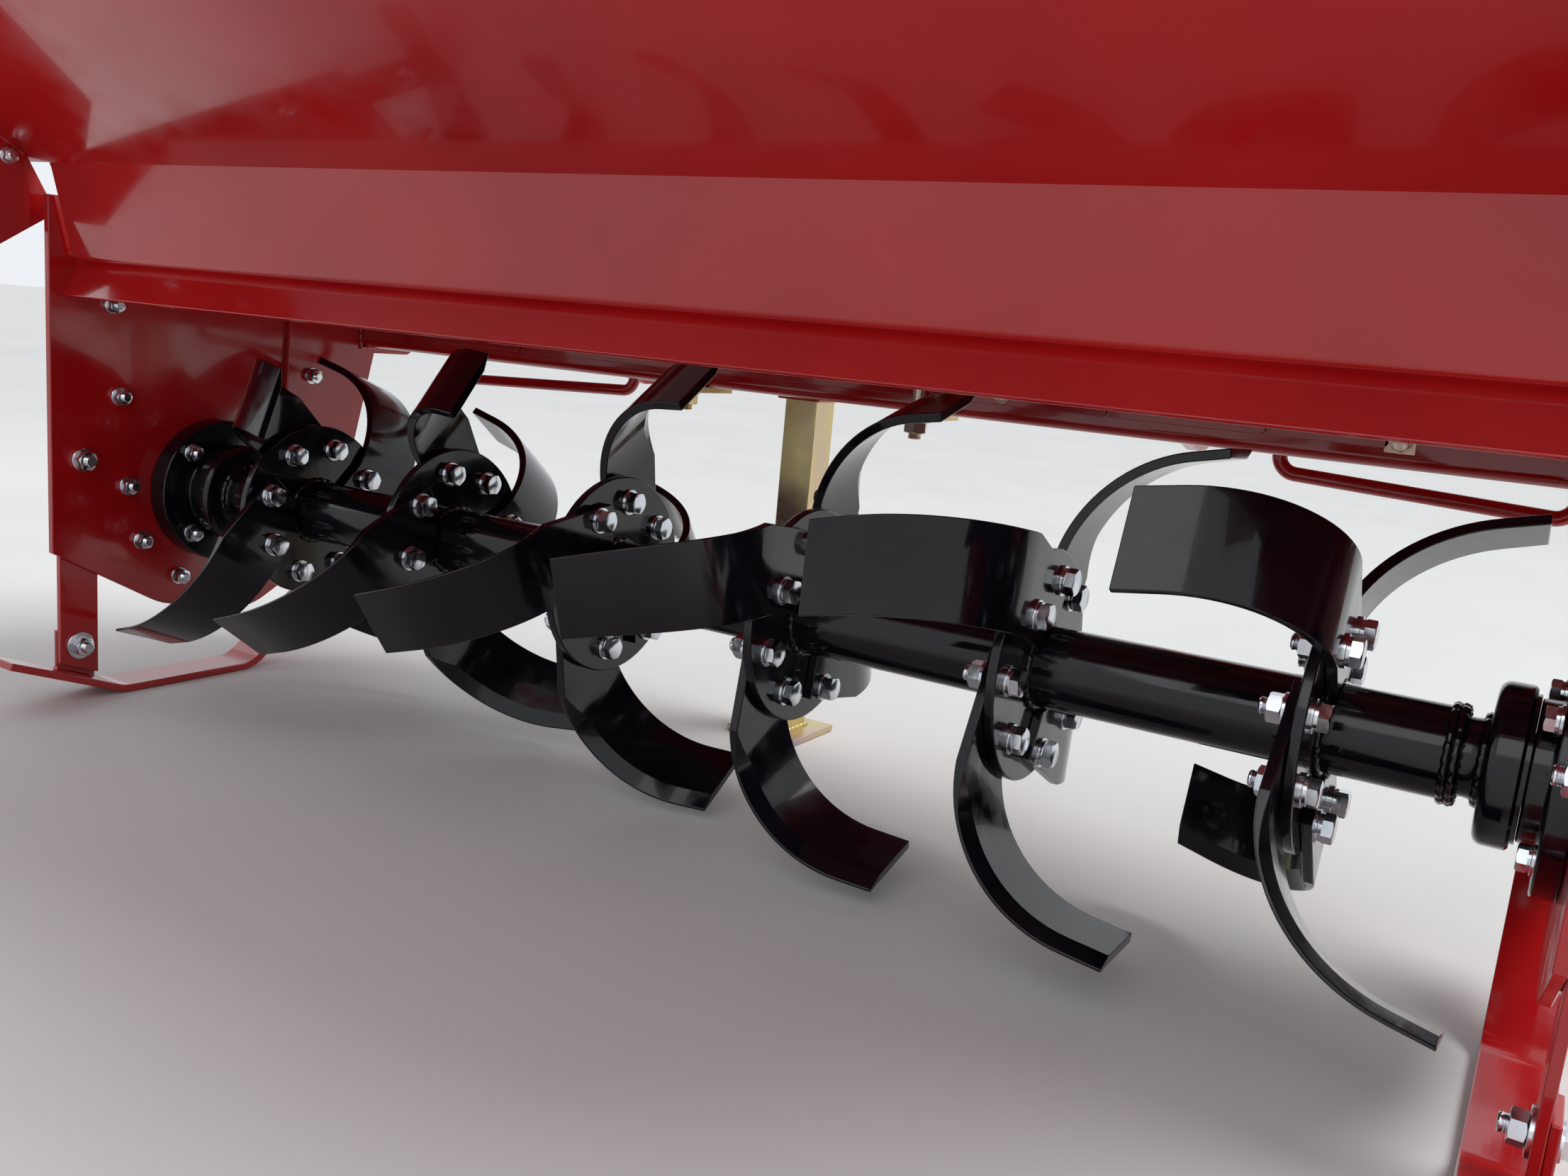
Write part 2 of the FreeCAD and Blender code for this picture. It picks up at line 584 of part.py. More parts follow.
# Cross shaft tube from the gearbox to the drive case, with its bolted flange.
tube = rod("X", "cross_tube_radius", "plate_half + plate_wall - gearbox_half_width",
           "-plate_half - plate_wall", "0", "pto_rise")
tube_flange = rod("X", "cross_flange_radius", "cross_flange_width",
                  "-plate_half - plate_wall", "0", "pto_rise")
box_flange = rod("X", "side_cover_radius", "side_cover_width",
                 "-gearbox_half_width - side_cover_width", "0", "pto_rise")
keep(fuse(tube, tube_flange, box_flange), "cross_tube")

# Gearbox: a casting with cut corners on the hood, with its covers.
gearbox_rows = (
    ("-gearbox_half_length", "hood_top + gearbox_bevel", "gearbox_round"),
    ("-gearbox_half_length + gearbox_foot_inset", "hood_top", None),
    ("gearbox_half_length - gearbox_foot_inset", "hood_top", None),
    ("gearbox_half_length", "hood_top + gearbox_bevel", "gearbox_round"),
    ("gearbox_half_length", "2 * pto_rise - hood_top - gearbox_bevel", "gearbox_round"),
    ("gearbox_half_length - gearbox_bevel", "2 * pto_rise - hood_top", "gearbox_round"),
    ("-gearbox_half_length + gearbox_bevel", "2 * pto_rise - hood_top", "gearbox_round"),
    ("-gearbox_half_length", "2 * pto_rise - hood_top - gearbox_bevel", "gearbox_round"),
)
casting = prism("gearbox_casting", "YZ", [gearbox_rows], "2 * gearbox_half_width", "-gearbox_half_width")
foot = block("2 * (gearbox_half_width + gearbox_foot_lap)",
             "2 * (gearbox_half_length - gearbox_foot_inset)", "gearbox_foot_height",
             "-gearbox_half_width - gearbox_foot_lap", "-gearbox_half_length + gearbox_foot_inset",
             "hood_top")
keep(fuse(casting, foot), "gearbox")
cover = rod("Y", "front_cover_radius", "front_cover_width", "0", "gearbox_half_length", "pto_rise")
seal = rod("Y", "journal_radius + journal_clearance", "front_cover_width",
           "0", "gearbox_half_length", "pto_rise")
keep(cut(cover, seal), "gearbox_front_cover")
keep(rod("Y", "rear_cover_radius", "rear_cover_width",
         "0", "-gearbox_half_length - rear_cover_width", "pto_rise"), "gearbox_rear_cover")
keep(rod("X", "side_cover_radius", "side_cover_width", "gearbox_half_width", "0", "pto_rise"),
     "gearbox_side_cover")

# Input shaft and the shield over it.
JOURNAL_START = "gearbox_half_length + journal_end_gap"
journal = rod("Y", "journal_radius", "journal_length", "0", JOURNAL_START, "pto_rise")
splined = rod("Y", "pto_radius", f"pto_reach - journal_length - ({JOURNAL_START})",
              "0", f"{JOURNAL_START} + journal_length", "pto_rise")
keep(fuse(journal, splined), "input_shaft")
shield_rows = (
    ("-shield_half", "-shield_skirt", None),
    ("-shield_half", "shield_half", "shield_round"),
    ("shield_half", "shield_half", "shield_round"),
    ("shield_half", "-shield_skirt", None),
    ("shield_half - shield_wall", "-shield_skirt", None),
    ("shield_half - shield_wall", "shield_half - shield_wall", "shield_round - shield_wall"),
    ("-shield_half + shield_wall", "shield_half - shield_wall", "shield_round - shield_wall"),
    ("-shield_half + shield_wall", "-shield_skirt", None),
)
keep(prism("input_shield", "XZ", [shield_rows], "shield_length", "0",
           "gearbox_half_length + front_cover_width + shield_length", "pto_rise"), "input_shield")

# Mast: two uprights off the toolbar that turn vertical at the top link, with stays to the gearbox.
MAST_FOOT = "beam_low + beam_size + hood_wall"
for side, sign in SIDES:
    s = "" if sign > 0 else "-"
    rows = (
        (f"{s}(mast_foot_half)", MAST_FOOT, None),
        (f"{s}(mast_foot_half + mast_foot_bar)", MAST_FOOT, None),
        (f"{s}(mast_head_half + mast_bar)", "mast_knee", None),
        (f"{s}(mast_head_half + mast_bar)", "mast_top", None),
        (f"{s}(mast_head_half)", "mast_top", None),
        (f"{s}(mast_head_half)", "mast_knee", None),
    )
    upright = prism("upright_" + side, "XZ", [rows], "mast_depth", "0", "mast_back + mast_depth")
    eye = rod("X", "top_pin_radius + top_pin_clearance", "2 * (mast_head_half + mast_bar)",
              "-mast_head_half - mast_bar", "mast_back + mast_depth / 2", "top_link_up")
    keep(cut(upright, eye), "mast_upright_" + side)
    stay = (
        ("-stay_foot_back - stay_depth / 2", "2 * pto_rise - hood_top", None),
        ("-stay_foot_back + stay_depth / 2", "2 * pto_rise - hood_top", None),
        ("mast_back + stay_head_lap", "mast_top - stay_head_low", None),
        ("mast_back - stay_head_lap", "mast_top - stay_head_high", None),
    )
    start = "mast_head_half + mast_bar" if sign > 0 else "-mast_head_half - mast_bar - stay_bar"
    keep(prism("mast_stay_" + side, "YZ", [stay], "stay_bar", start), "mast_stay_" + side)
keep(block("2 * (mast_head_half + mast_bar)", "lug_length", "lug_height",
           "-mast_head_half - mast_bar", "-stay_foot_back - lug_length / 2", "2 * pto_rise - hood_top"),
     "stay_lug")
keep(rod("X", "top_pin_radius", "2 * (mast_head_half + mast_bar + top_pin_end)",
         "-mast_head_half - mast_bar - top_pin_end", "mast_back + mast_depth / 2", "top_link_up"),
     "top_link_pin")

# Lower link plates on the toolbar's front face, each with its pin pointing outwards.
for side, sign in SIDES:
    rows = (
        (BEAM_FRONT, "beam_low", None),
        ("link_forward - link_neck", "link_up - link_nose", None),
        ("link_forward + link_nose", "link_up - link_nose", "link_round"),
        ("link_forward + link_nose", "link_up + link_nose", "link_round"),
        ("link_forward - link_neck", "link_up + link_nose", None),
        (BEAM_FRONT, BEAM_TOP, None),
    )
    start = "link_half - link_plate" if sign > 0 else "-link_half"
    keep(prism("link_plate_" + side, "YZ", [rows], "link_plate", start), "link_plate_" + side)
    start = "link_half" if sign > 0 else "-link_half - link_pin_length"
    keep(rod("X", "link_pin_radius", "link_pin_length", start, "link_forward", "link_up"),
         "link_pin_" + side)

# Parking leg in its sleeve on the toolbar's front face.
LEG_X = "-leg_left - leg_size / 2"
SLEEVE_IN = "(leg_size + 2 * sleeve_gap)"
SLEEVE_OUT = f"({SLEEVE_IN} + 2 * sleeve_wall)"
sleeve_block = block(SLEEVE_OUT, SLEEVE_OUT, "sleeve_height",
                     f"-leg_left - {SLEEVE_OUT} / 2", BEAM_FRONT, "beam_low - sleeve_low")
sleeve_bore = block(SLEEVE_IN, SLEEVE_IN, "sleeve_height",
                    f"-leg_left - {SLEEVE_IN} / 2", f"{BEAM_FRONT} + sleeve_wall", "beam_low - sleeve_low")
LEG_Y = f"({BEAM_FRONT} + sleeve_wall + sleeve_gap)"
PIN_Y = f"{LEG_Y} + leg_size / 2"


def pin_hole(up):
    """A hole across the parking leg and its sleeve, for the locking pin."""
    return rod("X", "leg_hole_radius", SLEEVE_OUT, f"-leg_left - {SLEEVE_OUT} / 2", PIN_Y, up)


keep(cut(sleeve_block, fuse(sleeve_bore, pin_hole("leg_pin_up"))), "leg_sleeve")
LEG_FOOT = "-floor_drop + leg_foot_wall"
leg = block("leg_size", "leg_size", "leg_length", LEG_X, LEG_Y, LEG_FOOT)
hollow = block("leg_size - 2 * leg_wall", "leg_size - 2 * leg_wall", "leg_length",
               f"{LEG_X} + leg_wall", f"{LEG_Y} + leg_wall", LEG_FOOT)
holes = pin_hole("leg_pin_up"), pin_hole("leg_pin_up - leg_travel")
foot = block("leg_foot", "leg_foot", "leg_foot_wall", "-leg_left - leg_foot / 2",
             f"{LEG_Y} + (leg_size - leg_foot) / 2", "-floor_drop")
keep(fuse(cut(leg, fuse(hollow, *holes)), foot), "parking_leg")

# Bearing housings on the plates' inner faces, and the outer cap on the right.
for side, sign in SIDES:
    width = f"{side}_housing_width"
    far = "-plate_half" if sign < 0 else f"plate_half - {width}"
    near = f"-plate_half + {width}" if sign < 0 else f"plate_half - {width} - nose_length"
    low = "-plate_half" if sign < 0 else f"plate_half - {width} - nose_length"
    shell = fuse(rod("X", "housing_radius", width, far), rod("X", "nose_radius", "nose_length", near))
    bore = rod("X", "stub_radius + stub_clearance", f"{width} + nose_length", low)
    keep(cut(shell, bore), "bearing_housing_" + side)
keep(rod("X", "bearing_cap_radius", "bearing_cap_width", "plate_half + plate_wall"), "bearing_cap")

# Rotor: tube with a collar and a stub shaft at each end, flanges, and the tines on their faces.
LEFT_COLLAR = "(-plate_half + left_housing_width + nose_length + collar_gap)"
RIGHT_COLLAR = "(plate_half - right_housing_width - nose_length - collar_gap - collar_width)"
keep(fuse(
    rod("X", "tube_radius", f"{RIGHT_COLLAR} - neck_length - {LEFT_COLLAR}", LEFT_COLLAR),
    rod("X", "neck_radius", "neck_length", f"{RIGHT_COLLAR} - neck_length"),
    rod("X", "collar_radius", "collar_width", LEFT_COLLAR),
    rod("X", "collar_radius", "collar_width", RIGHT_COLLAR),
    rod("X", "stub_radius", "2 * (plate_half - stub_end_gap)", "-plate_half + stub_end_gap"),
), "rotor_shaft")

count = int(size.flange_count)
pitch = (2 * size.plate_half - size.first_flange - size.last_flange) / (count - 1)
flange_x = [-size.plate_half + size.first_flange + k * pitch for k in range(count)]
rings = [Part.makeCylinder(size.flange_radius, size.flange_wall,
                           Vector(x - size.flange_wall / 2, 0, 0), Vector(1, 0, 0))
         .cut(Part.makeCylinder(size.tube_radius, size.flange_wall,
                                Vector(x - size.flange_wall / 2, 0, 0), Vector(1, 0, 0)))
         for x in flange_x]
worked("rotor_flanges", Part.makeCompound(rings))


def tine():
    """One blade in the shank's own plane: x sideways, y along the shank, z back across the band.

    Cross sections follow the bend line's slope, and the band drifts back and narrows.
    """
    bend = math.radians(size.tine_bend)
    arc = size.tine_bend_radius * bend
    half, wall = size.tine_width / 2, size.tine_wall
    lean = Vector(0, size.tine_lean, -1).normalize()
    stations = [arc * i / 6 for i in range(7)] + [arc + size.tine_tip]
    sections = []
    heel = [Vector(side * wall / 2, -size.tine_heel, across)
            for side, across in ((-1, half), (1, half), (1, -half), (-1, -half))]
    sections.append(heel)
    for t in stations:
        turn = min(t, arc) / size.tine_bend_radius
        past = max(0.0, t - arc)
        side = size.tine_bend_radius * (1 - math.cos(turn)) + past * math.sin(turn)
        along = size.tine_bend_radius * math.sin(turn) + past * math.cos(turn)
        run = Vector(math.sin(turn), math.cos(turn), 0)
        off = run.cross(lean).normalize() * (wall / 2)
        narrow = size.tine_taper * t / (arc + size.tine_tip)
        corners = []
        for edge in (-1, 1):
            across = edge * half - size.tine_drift * t - edge * narrow
            start = size.tine_shank + size.tine_lean * edge * half
            corners.append(Vector(side, start + along, -across))
        sections.append([corners[0] - off, corners[0] + off, corners[1] + off, corners[1] - off])
    wires = [Part.makePolygon(ring + ring[:1]) for ring in sections]
    return Part.makeLoft(wires, True, True)


def tine_at(blade, x, turn, mirrored):
    """Put a blade on a flange face, its shank's middle at a turn from the top forwards."""
    if mirrored:
        blade = blade.mirror(Vector(), Vector(1, 0, 0))
    blade = blade.copy()
    blade.rotate(Vector(), Vector(1, 0, 0), 180 - size.tine_sweep)
    blade.translate(Vector(0, 0, size.tine_offset))
    blade.rotate(Vector(), Vector(1, 0, 0), -turn)
    blade.translate(Vector(x, 0, 0))
    return blade


# slots between bolts from the flange's own first slot, bending right or left
TINE_SLOTS = ((4.5, False), (0.5, False), (-1.5, True), (2.5, True))
blade = tine()
blades = []
for k, x in enumerate(flange_x):
    clear = Part.makeCylinder(size.tube_radius + size.heel_clearance, 2 * pitch,
                              Vector(x - pitch, 0, 0), Vector(1, 0, 0))
    face = (size.flange_wall + size.tine_wall) / 2
    for slot, mirrored in TINE_SLOTS:
        turn = size.first_turn + k * size.flange_turn + slot * 45
        placed = tine_at(blade, x + face if mirrored else x - face, turn, mirrored)
        blades.append(max(placed.cut(clear.fuse(rings[k])).Solids, key=lambda solid: solid.Volume))
worked("rotor_tines", Part.makeCompound(blades))

# Tailboard as raised: leaf rolled round the hinge rod, main panel with its return edge, and two wings.
leaf_half = size.plate_half - size.board_gap
hinge = Vector(-leaf_half, -size.hinge_back, size.hinge_up)


def from_hinge(turn, radius):
    """A place on the leaf's left end, at an angle from the leaf as it leaves the hinge."""
    return hinge + Vector(0, *polar(size.leaf_angle + turn, radius))


# the sheet's outer face runs on into the roll, and its inner face meets the roll again
leaf_step = Vector(0, *polar(size.leaf_angle, size.leaf_length))
sheet_foot = from_hinge(90, size.hinge_barrel_radius)
meet = math.degrees(math.asin((size.hinge_barrel_radius - size.board_wall) / size.hinge_barrel_radius))
bend_outer = sheet_foot + leaf_step
bend_inner = bend_outer + Vector(0, *polar(size.leaf_angle - 90, size.board_wall))
roll = Part.Arc(sheet_foot, from_hinge(270, size.hinge_barrel_radius), from_hinge(meet, size.hinge_barrel_radius))
edges = [Part.makeLine(bend_outer, sheet_foot), roll.toShape(),
         Part.makeLine(from_hinge(meet, size.hinge_barrel_radius), bend_inner), Part.makeLine(bend_inner, bend_outer)]
bore = Part.makeCylinder(size.hinge_rod_radius + size.rod_clearance, 2 * leaf_half, hinge, Vector(1, 0, 0))
worked("tailboard_leaf", Part.Face(Part.Wire(edges)).extrude(Vector(2 * leaf_half, 0, 0)).cut(bore))

bend_at = (bend_outer.y, bend_outer.z)
panel_step = polar(size.panel_angle, size.panel_length)
return_step = polar(size.panel_angle - 90, size.panel_return)
panel_end = (bend_at[0] + panel_step[0], bend_at[1] + panel_step[1])

wing_in = size.plate_half + size.plate_wall + size.wing_gap
panel_half = wing_in + size.wing_wall + size.panel_overhang
panel = folded((bend_at, panel_end, (panel_end[0] + return_step[0], panel_end[1] + return_step[1])),
               size.board_wall, size.panel_bend, -panel_half, panel_half)
worked("tailboard_panel", panel)

# wing corners in the panel's own frame: along it from the bend, and down from its underside
WING = ((8, 0), (-43, 28), (-13, 92), (115, 108), (250, 0))
along = polar(size.panel_angle, 1)
down = polar(size.panel_angle + 90, 1)
for side, sign in SIDES:
    x = wing_in if sign > 0 else -wing_in - size.wing_wall
    corners = [Vector(x, bend_at[0] + p * along[0] + q * down[0], bend_at[1] + p * along[1] + q * down[1])
               for p, q in WING]
    wing = Part.Face(Part.makePolygon(corners + corners[:1])).extrude(Vector(size.wing_wall, 0, 0))
    worked("tailboard_wing_" + side, wing)

keep(rod("X", "hinge_rod_radius", "2 * plate_half", "-plate_half", "-hinge_back", "hinge_up"), "hinge_rod")

doc.recompute()

for item in doc.Objects:
    if "Invalid" in item.State or "Error" in item.State:
        raise RuntimeError(f"{item.Label} failed: {item.State}")
os.makedirs("parts", exist_ok=True)
for item in nodes:
    if item.Shape.isNull() or not item.Shape.isValid():
        raise RuntimeError(f"{item.Label} has no valid shape")
for item in nodes:
    item.Shape.exportStep(f"parts/{item.Label}.step")
    box = item.Shape.BoundBox
    print(f"{item.Label:24s} {len(item.Shape.Solids)} solids {item.Shape.Volume / 1e6:8.3f} l  "
          f"x {box.XMin:7.1f} {box.XMax:7.1f}  y {box.YMin:7.1f} {box.YMax:7.1f}  z {box.ZMin:7.1f} {box.ZMax:7.1f}")
print(len(nodes), "sub-parts")
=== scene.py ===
"""Looks for the rotavator: finer pieces, fasteners, welds, materials, light and camera.

Blender works in metres with +X to the right, +Y forward and +Z up. Pieces are drawn in
millimetres, from the middle of the machine and the rotor's axis, and spot() places them.
Turns are in degrees.
"""
import bpy
import bmesh
import json
import math
from mathutils import Matrix, Vector


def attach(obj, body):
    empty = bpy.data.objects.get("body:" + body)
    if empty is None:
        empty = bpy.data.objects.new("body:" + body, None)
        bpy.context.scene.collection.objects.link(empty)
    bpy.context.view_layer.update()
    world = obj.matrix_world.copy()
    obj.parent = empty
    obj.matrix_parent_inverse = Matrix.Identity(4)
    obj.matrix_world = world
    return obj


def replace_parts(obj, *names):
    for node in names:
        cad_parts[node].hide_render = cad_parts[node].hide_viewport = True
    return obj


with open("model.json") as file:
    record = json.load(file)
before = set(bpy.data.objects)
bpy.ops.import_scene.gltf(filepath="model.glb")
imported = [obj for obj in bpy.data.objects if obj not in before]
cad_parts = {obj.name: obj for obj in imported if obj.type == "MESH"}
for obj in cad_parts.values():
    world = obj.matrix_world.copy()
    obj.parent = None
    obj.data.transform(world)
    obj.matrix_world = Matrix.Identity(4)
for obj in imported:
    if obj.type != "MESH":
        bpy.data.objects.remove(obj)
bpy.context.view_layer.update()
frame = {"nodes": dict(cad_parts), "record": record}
nodes = frame["nodes"]
record = frame["record"]
scene = bpy.context.scene

# Millimetres and degrees, as in the part's source.
PTO_REACH, PTO_RISE = 210, 400
PLATE_HALF, PLATE_WALL = 692, 8
FLOOR_DROP = 218
FIRST_FLANGE, LAST_FLANGE, FLANGES = 175, 159, 6
FLANGE_WALL, FLANGE_TURN, FIRST_TURN = 8, 18, -27.29
FLANGE_BOLTS, FLANGE_BOLT_CIRCLE = 8, 68.7
TUBE_RADIUS = 32
TINE_WIDTH, TINE_WALL, TINE_OFFSET, TINE_HEEL, TINE_SHANK = 70.8, 8, 57.1, 30, 41.4
TINE_SWEEP, TINE_BEND_RADIUS, TINE_BEND, TINE_TIP = 50.2, 103.4, 84, 29
TINE_LEAN, TINE_DRIFT, TINE_TAPER = 0.417, 0.28, 4.1
HEEL_CLEARANCE = 4
TINE_SLOTS = ((4.5, False), (0.5, False), (-1.5, True), (2.5, True))
HINGE_BACK, HINGE_UP, HINGE_ROLL = 163, 250, 6.5
LEAF_ANGLE, LEAF_LENGTH, PANEL_ANGLE = 104, 90, 148
BEAM_BACK, BEAM_FRONT, BEAM_LOW, BEAM_TOP = 210, 290, 171, 255

RIGHT, FRONT, UP = (1, 0, 0), (0, 1, 0), (0, 0, 1)
LEFT, REAR, DOWN = (-1, 0, 0), (0, -1, 0), (0, 0, -1)
M8, M10, M12, M14, M16, M18, M20 = 8, 10, 12, 14, 16, 18, 20


def spot(x, y, z):
    """A place counted from the middle and the rotor's axis, in metres."""
    return Vector((x, y - PTO_REACH, z - PTO_RISE)) / 1000


def cos(turn):
    return math.cos(math.radians(turn))


def sin(turn):
    return math.sin(math.radians(turn))


def spread(start, end, count):
    """That many values in even steps from start to end, both ends among them."""
    return [start + (end - start) * i / (count - 1) for i in range(count)]


def turns_round(count, start=0.0):
    """Turns spread evenly round a circle."""
    return [start + 360 * n / count for n in range(count)]


# Materials
def material(name, colour, rough, metal=0.0, coat=0.0, coat_rough=0.03, gloss=0.5):
    """A material whose colour and roughness vary() then lets waver."""
    made = bpy.data.materials.new(name)
    made.use_nodes = True
    shader = made.node_tree.nodes["Principled BSDF"]
    shader.inputs["Base Color"].default_value = (*colour, 1)
    shader.inputs["Roughness"].default_value = rough
    shader.inputs["Metallic"].default_value = metal
    shader.inputs["Coat Weight"].default_value = coat
    shader.inputs["Coat Roughness"].default_value = coat_rough
    shader.inputs["Specular IOR Level"].default_value = gloss
    made.diffuse_color = (*colour, 1)
    return made


def put(made, socket, value):
    """Leads a value into a socket of the material's shader."""
    made.node_tree.links.new(value, made.node_tree.nodes["Principled BSDF"].inputs[socket])


def noise(made, scale, detail, stretch=(1, 1, 1)):
    """A noise of that many waves a metre, fixed to the piece."""
    tree = made.node_tree
    place = tree.nodes.new("ShaderNodeTexCoord")
    turn = tree.nodes.new("ShaderNodeMapping")
    turn.inputs["Scale"].default_value = stretch
    grain = tree.nodes.new("ShaderNodeTexNoise")
    grain.inputs["Scale"].default_value = scale
    grain.inputs["Detail"].default_value = detail
    tree.links.new(place.outputs["Object"], turn.inputs["Vector"])
    tree.links.new(turn.outputs["Vector"], grain.inputs["Vector"])
    return grain.outputs["Fac"]


def vary(made, socket, scale, detail, stops, stretch=(1, 1, 1)):
    """Lets a socket waver with a noise between stops: rows of (place, colour or grey)."""
    ramp = made.node_tree.nodes.new("ShaderNodeValToRGB")
    bar = ramp.color_ramp
    while len(bar.elements) < len(stops):
        bar.elements.new(0.5)
    for element, (place, colour) in zip(bar.elements, stops):
        element.position = place
        element.color = (*colour, 1) if isinstance(colour, tuple) else (colour, colour, colour, 1)
    made.node_tree.links.new(noise(made, scale, detail, stretch), ramp.inputs["Fac"])
    put(made, socket, ramp.outputs["Color"])


def bump(made, *layers):
    """Relief from noises laid on each other: rows of (depth in millimetres, what noise() takes)."""
    tree = made.node_tree
    normal = None
    for depth, *grain in layers:
        node = tree.nodes.new("ShaderNodeBump")
        node.inputs["Strength"].default_value = 1
        node.inputs["Distance"].default_value = depth / 1000
        tree.links.new(noise(made, *grain), node.inputs["Height"])
        if normal:
            tree.links.new(normal, node.inputs["Normal"])
        normal = node.outputs["Normal"]
    put(made, "Normal", normal)


red = material("red_enamel", (0.40, 0.007, 0.009), 0.22, coat=0.3)
vary(red, "Base Color", 5, 4, ((0.3, (0.36, 0.005, 0.007)), (0.7, (0.45, 0.009, 0.010))))
vary(red, "Roughness", 26, 6, ((0.35, 0.10), (0.75, 0.24)))
bump(red, (0.9, 3.5, 1), (0.002, 240, 1))

black = material("black_enamel", (0.004, 0.004, 0.007), 0.12, coat=0.25, gloss=0.3)
vary(black, "Base Color", 12, 4, ((0.35, (0.002, 0.002, 0.004)), (0.75, (0.008, 0.007, 0.011))))
vary(black, "Roughness", 45, 6, ((0.35, 0.08), (0.8, 0.26)))
bump(black, (0.16, 30, 2, (1, 1, 0.35)), (0.002, 300, 1))

zinc = material("bright_zinc", (0.66, 0.68, 0.71), 0.2, metal=1)
vary(zinc, "Base Color", 70, 2, ((0.3, (0.60, 0.63, 0.68)), (0.7, (0.74, 0.76, 0.79))))
vary(zinc, "Roughness", 140, 3, ((0.3, 0.14), (0.8, 0.28)))
bump(zinc, (0.003, 700, 1))

gold = material("yellow_zinc", (0.62, 0.48, 0.22), 0.30, metal=1)
vary(gold, "Base Color", 9, 3, (
    (0.30, (0.50, 0.46, 0.22)), (0.42, (0.66, 0.54, 0.26)), (0.54, (0.62, 0.46, 0.36)),
    (0.66, (0.48, 0.38, 0.40)), (0.78, (0.52, 0.52, 0.30))), (1, 1, 0.4))
vary(gold, "Roughness", 40, 4, ((0.3, 0.24), (0.8, 0.40)))
bump(gold, (0.004, 420, 1))

casting = material("grey_casting", (0.05, 0.052, 0.056), 0.42, coat=0.25, coat_rough=0.2)
vary(casting, "Base Color", 18, 5, ((0.3, (0.040, 0.042, 0.046)), (0.75, (0.068, 0.070, 0.075))))
vary(casting, "Roughness", 60, 5, ((0.3, 0.34), (0.8, 0.56)))
bump(casting, (0.35, 190, 3), (0.05, 700, 2))

steel = material("machined_steel", (0.56, 0.56, 0.57), 0.28, metal=1)
vary(steel, "Base Color", 60, 4, ((0.3, (0.44, 0.44, 0.45)), (0.7, (0.62, 0.62, 0.62))))
vary(steel, "Roughness", 120, 4, ((0.3, 0.18), (0.8, 0.42)), (1, 9, 1))
bump(steel, (0.012, 260, 2, (1, 8, 1)))

plastic = material("black_plastic", (0.018, 0.018, 0.019), 0.46)
vary(plastic, "Base Color", 30, 4, ((0.3, (0.014, 0.014, 0.015)), (0.8, (0.026, 0.026, 0.027))))
vary(plastic, "Roughness", 80, 4, ((0.3, 0.38), (0.8, 0.56)))
bump(plastic, (0.05, 1100, 2))

SLOT_MATERIAL = {"red_paint": red, "grey_casting": casting, "black_paint": black,
                 "bright_steel": steel, "yellow_zinc": gold, "black_plastic": plastic}
slot_of = {row["node"]: row["material_slot"] for row in record["subparts"]}
body_of = {node: body for body, members in record["behaviour"]["bodies"].items() for node in members}
for name, node in nodes.items():
    node.data.materials.clear()
    node.data.materials.append(SLOT_MATERIAL[slot_of[name]])


# Shapes
def facing(axis, turn=0.0):
    """The rotation that takes +Z to an axis, after a turn round it."""
    return Vector(axis).to_track_quat("Z", "Y").to_matrix() @ Matrix.Rotation(math.radians(turn), 3, "Z")


def round_places(at, axis, radius, count, start=0.0):
    """Places spread evenly round an axis."""
    turned = facing(axis)
    return [Vector(at) + turned @ Vector((radius * cos(turn), radius * sin(turn), 0))
            for turn in turns_round(count, start)]


def walk(line, count):
    """Places spread evenly along a closed line of points."""
    ends = line[1:] + line[:1]
    lengths = [(end - start).length for start, end in zip(line, ends)]
    stride = sum(lengths) / count
    gone = 0.0
    places = []
    for start, end, length in zip(line, ends, lengths):
        while gone < length:
            places.append(start.lerp(end, gone / length))
            gone += stride
        gone -= length
    return places[:count]


def circle(radius, height, sides):
    """Points round +Z at a height."""
    return [Vector((radius * cos(turn), radius * sin(turn), height)) for turn in turns_round(sides)]


# Fasteners, most of them in widths of their thread.
HEX_POINTS, CHAMFER_SLOPE = 24, math.tan(math.radians(30))
HEX_ACROSS, HEX_CROWN = 1.56, 0.96
HEAD_RISE, NUT_RISE = 0.64, 0.82
WASHER_WALL, WASHER_EDGE, SPRING_REACH = 0.2, 0.4, 0.86
THREAD_START, THREAD_PITCH, THREAD_DEPTH, THREAD_CHAMFER = 0.7, 1.5, 0.55, 1


def hexagon(across, height, drop_from=None, down=1):
    """A hexagon across its flats; past drop_from its points fall along a cone, as a nut's do."""
    ring = []
    for turn in turns_round(HEX_POINTS):
        reach = across / 2 / cos((turn + 30) % 60 - 30)
        fall = 0 if drop_from is None else (reach - drop_from) * CHAMFER_SLOPE * down
        ring.append(Vector((reach * cos(turn), reach * sin(turn), height - fall)))
    return ring


# Weld beads. A ripple is a whole number of points long.
BEAD_STEP, BEAD_SIDES, BEAD_SHARP = 2.2, 7, 60
RIPPLE_DEPTH, RIPPLE_POINTS, LEAST_RIPPLES = 0.16, 4, 6


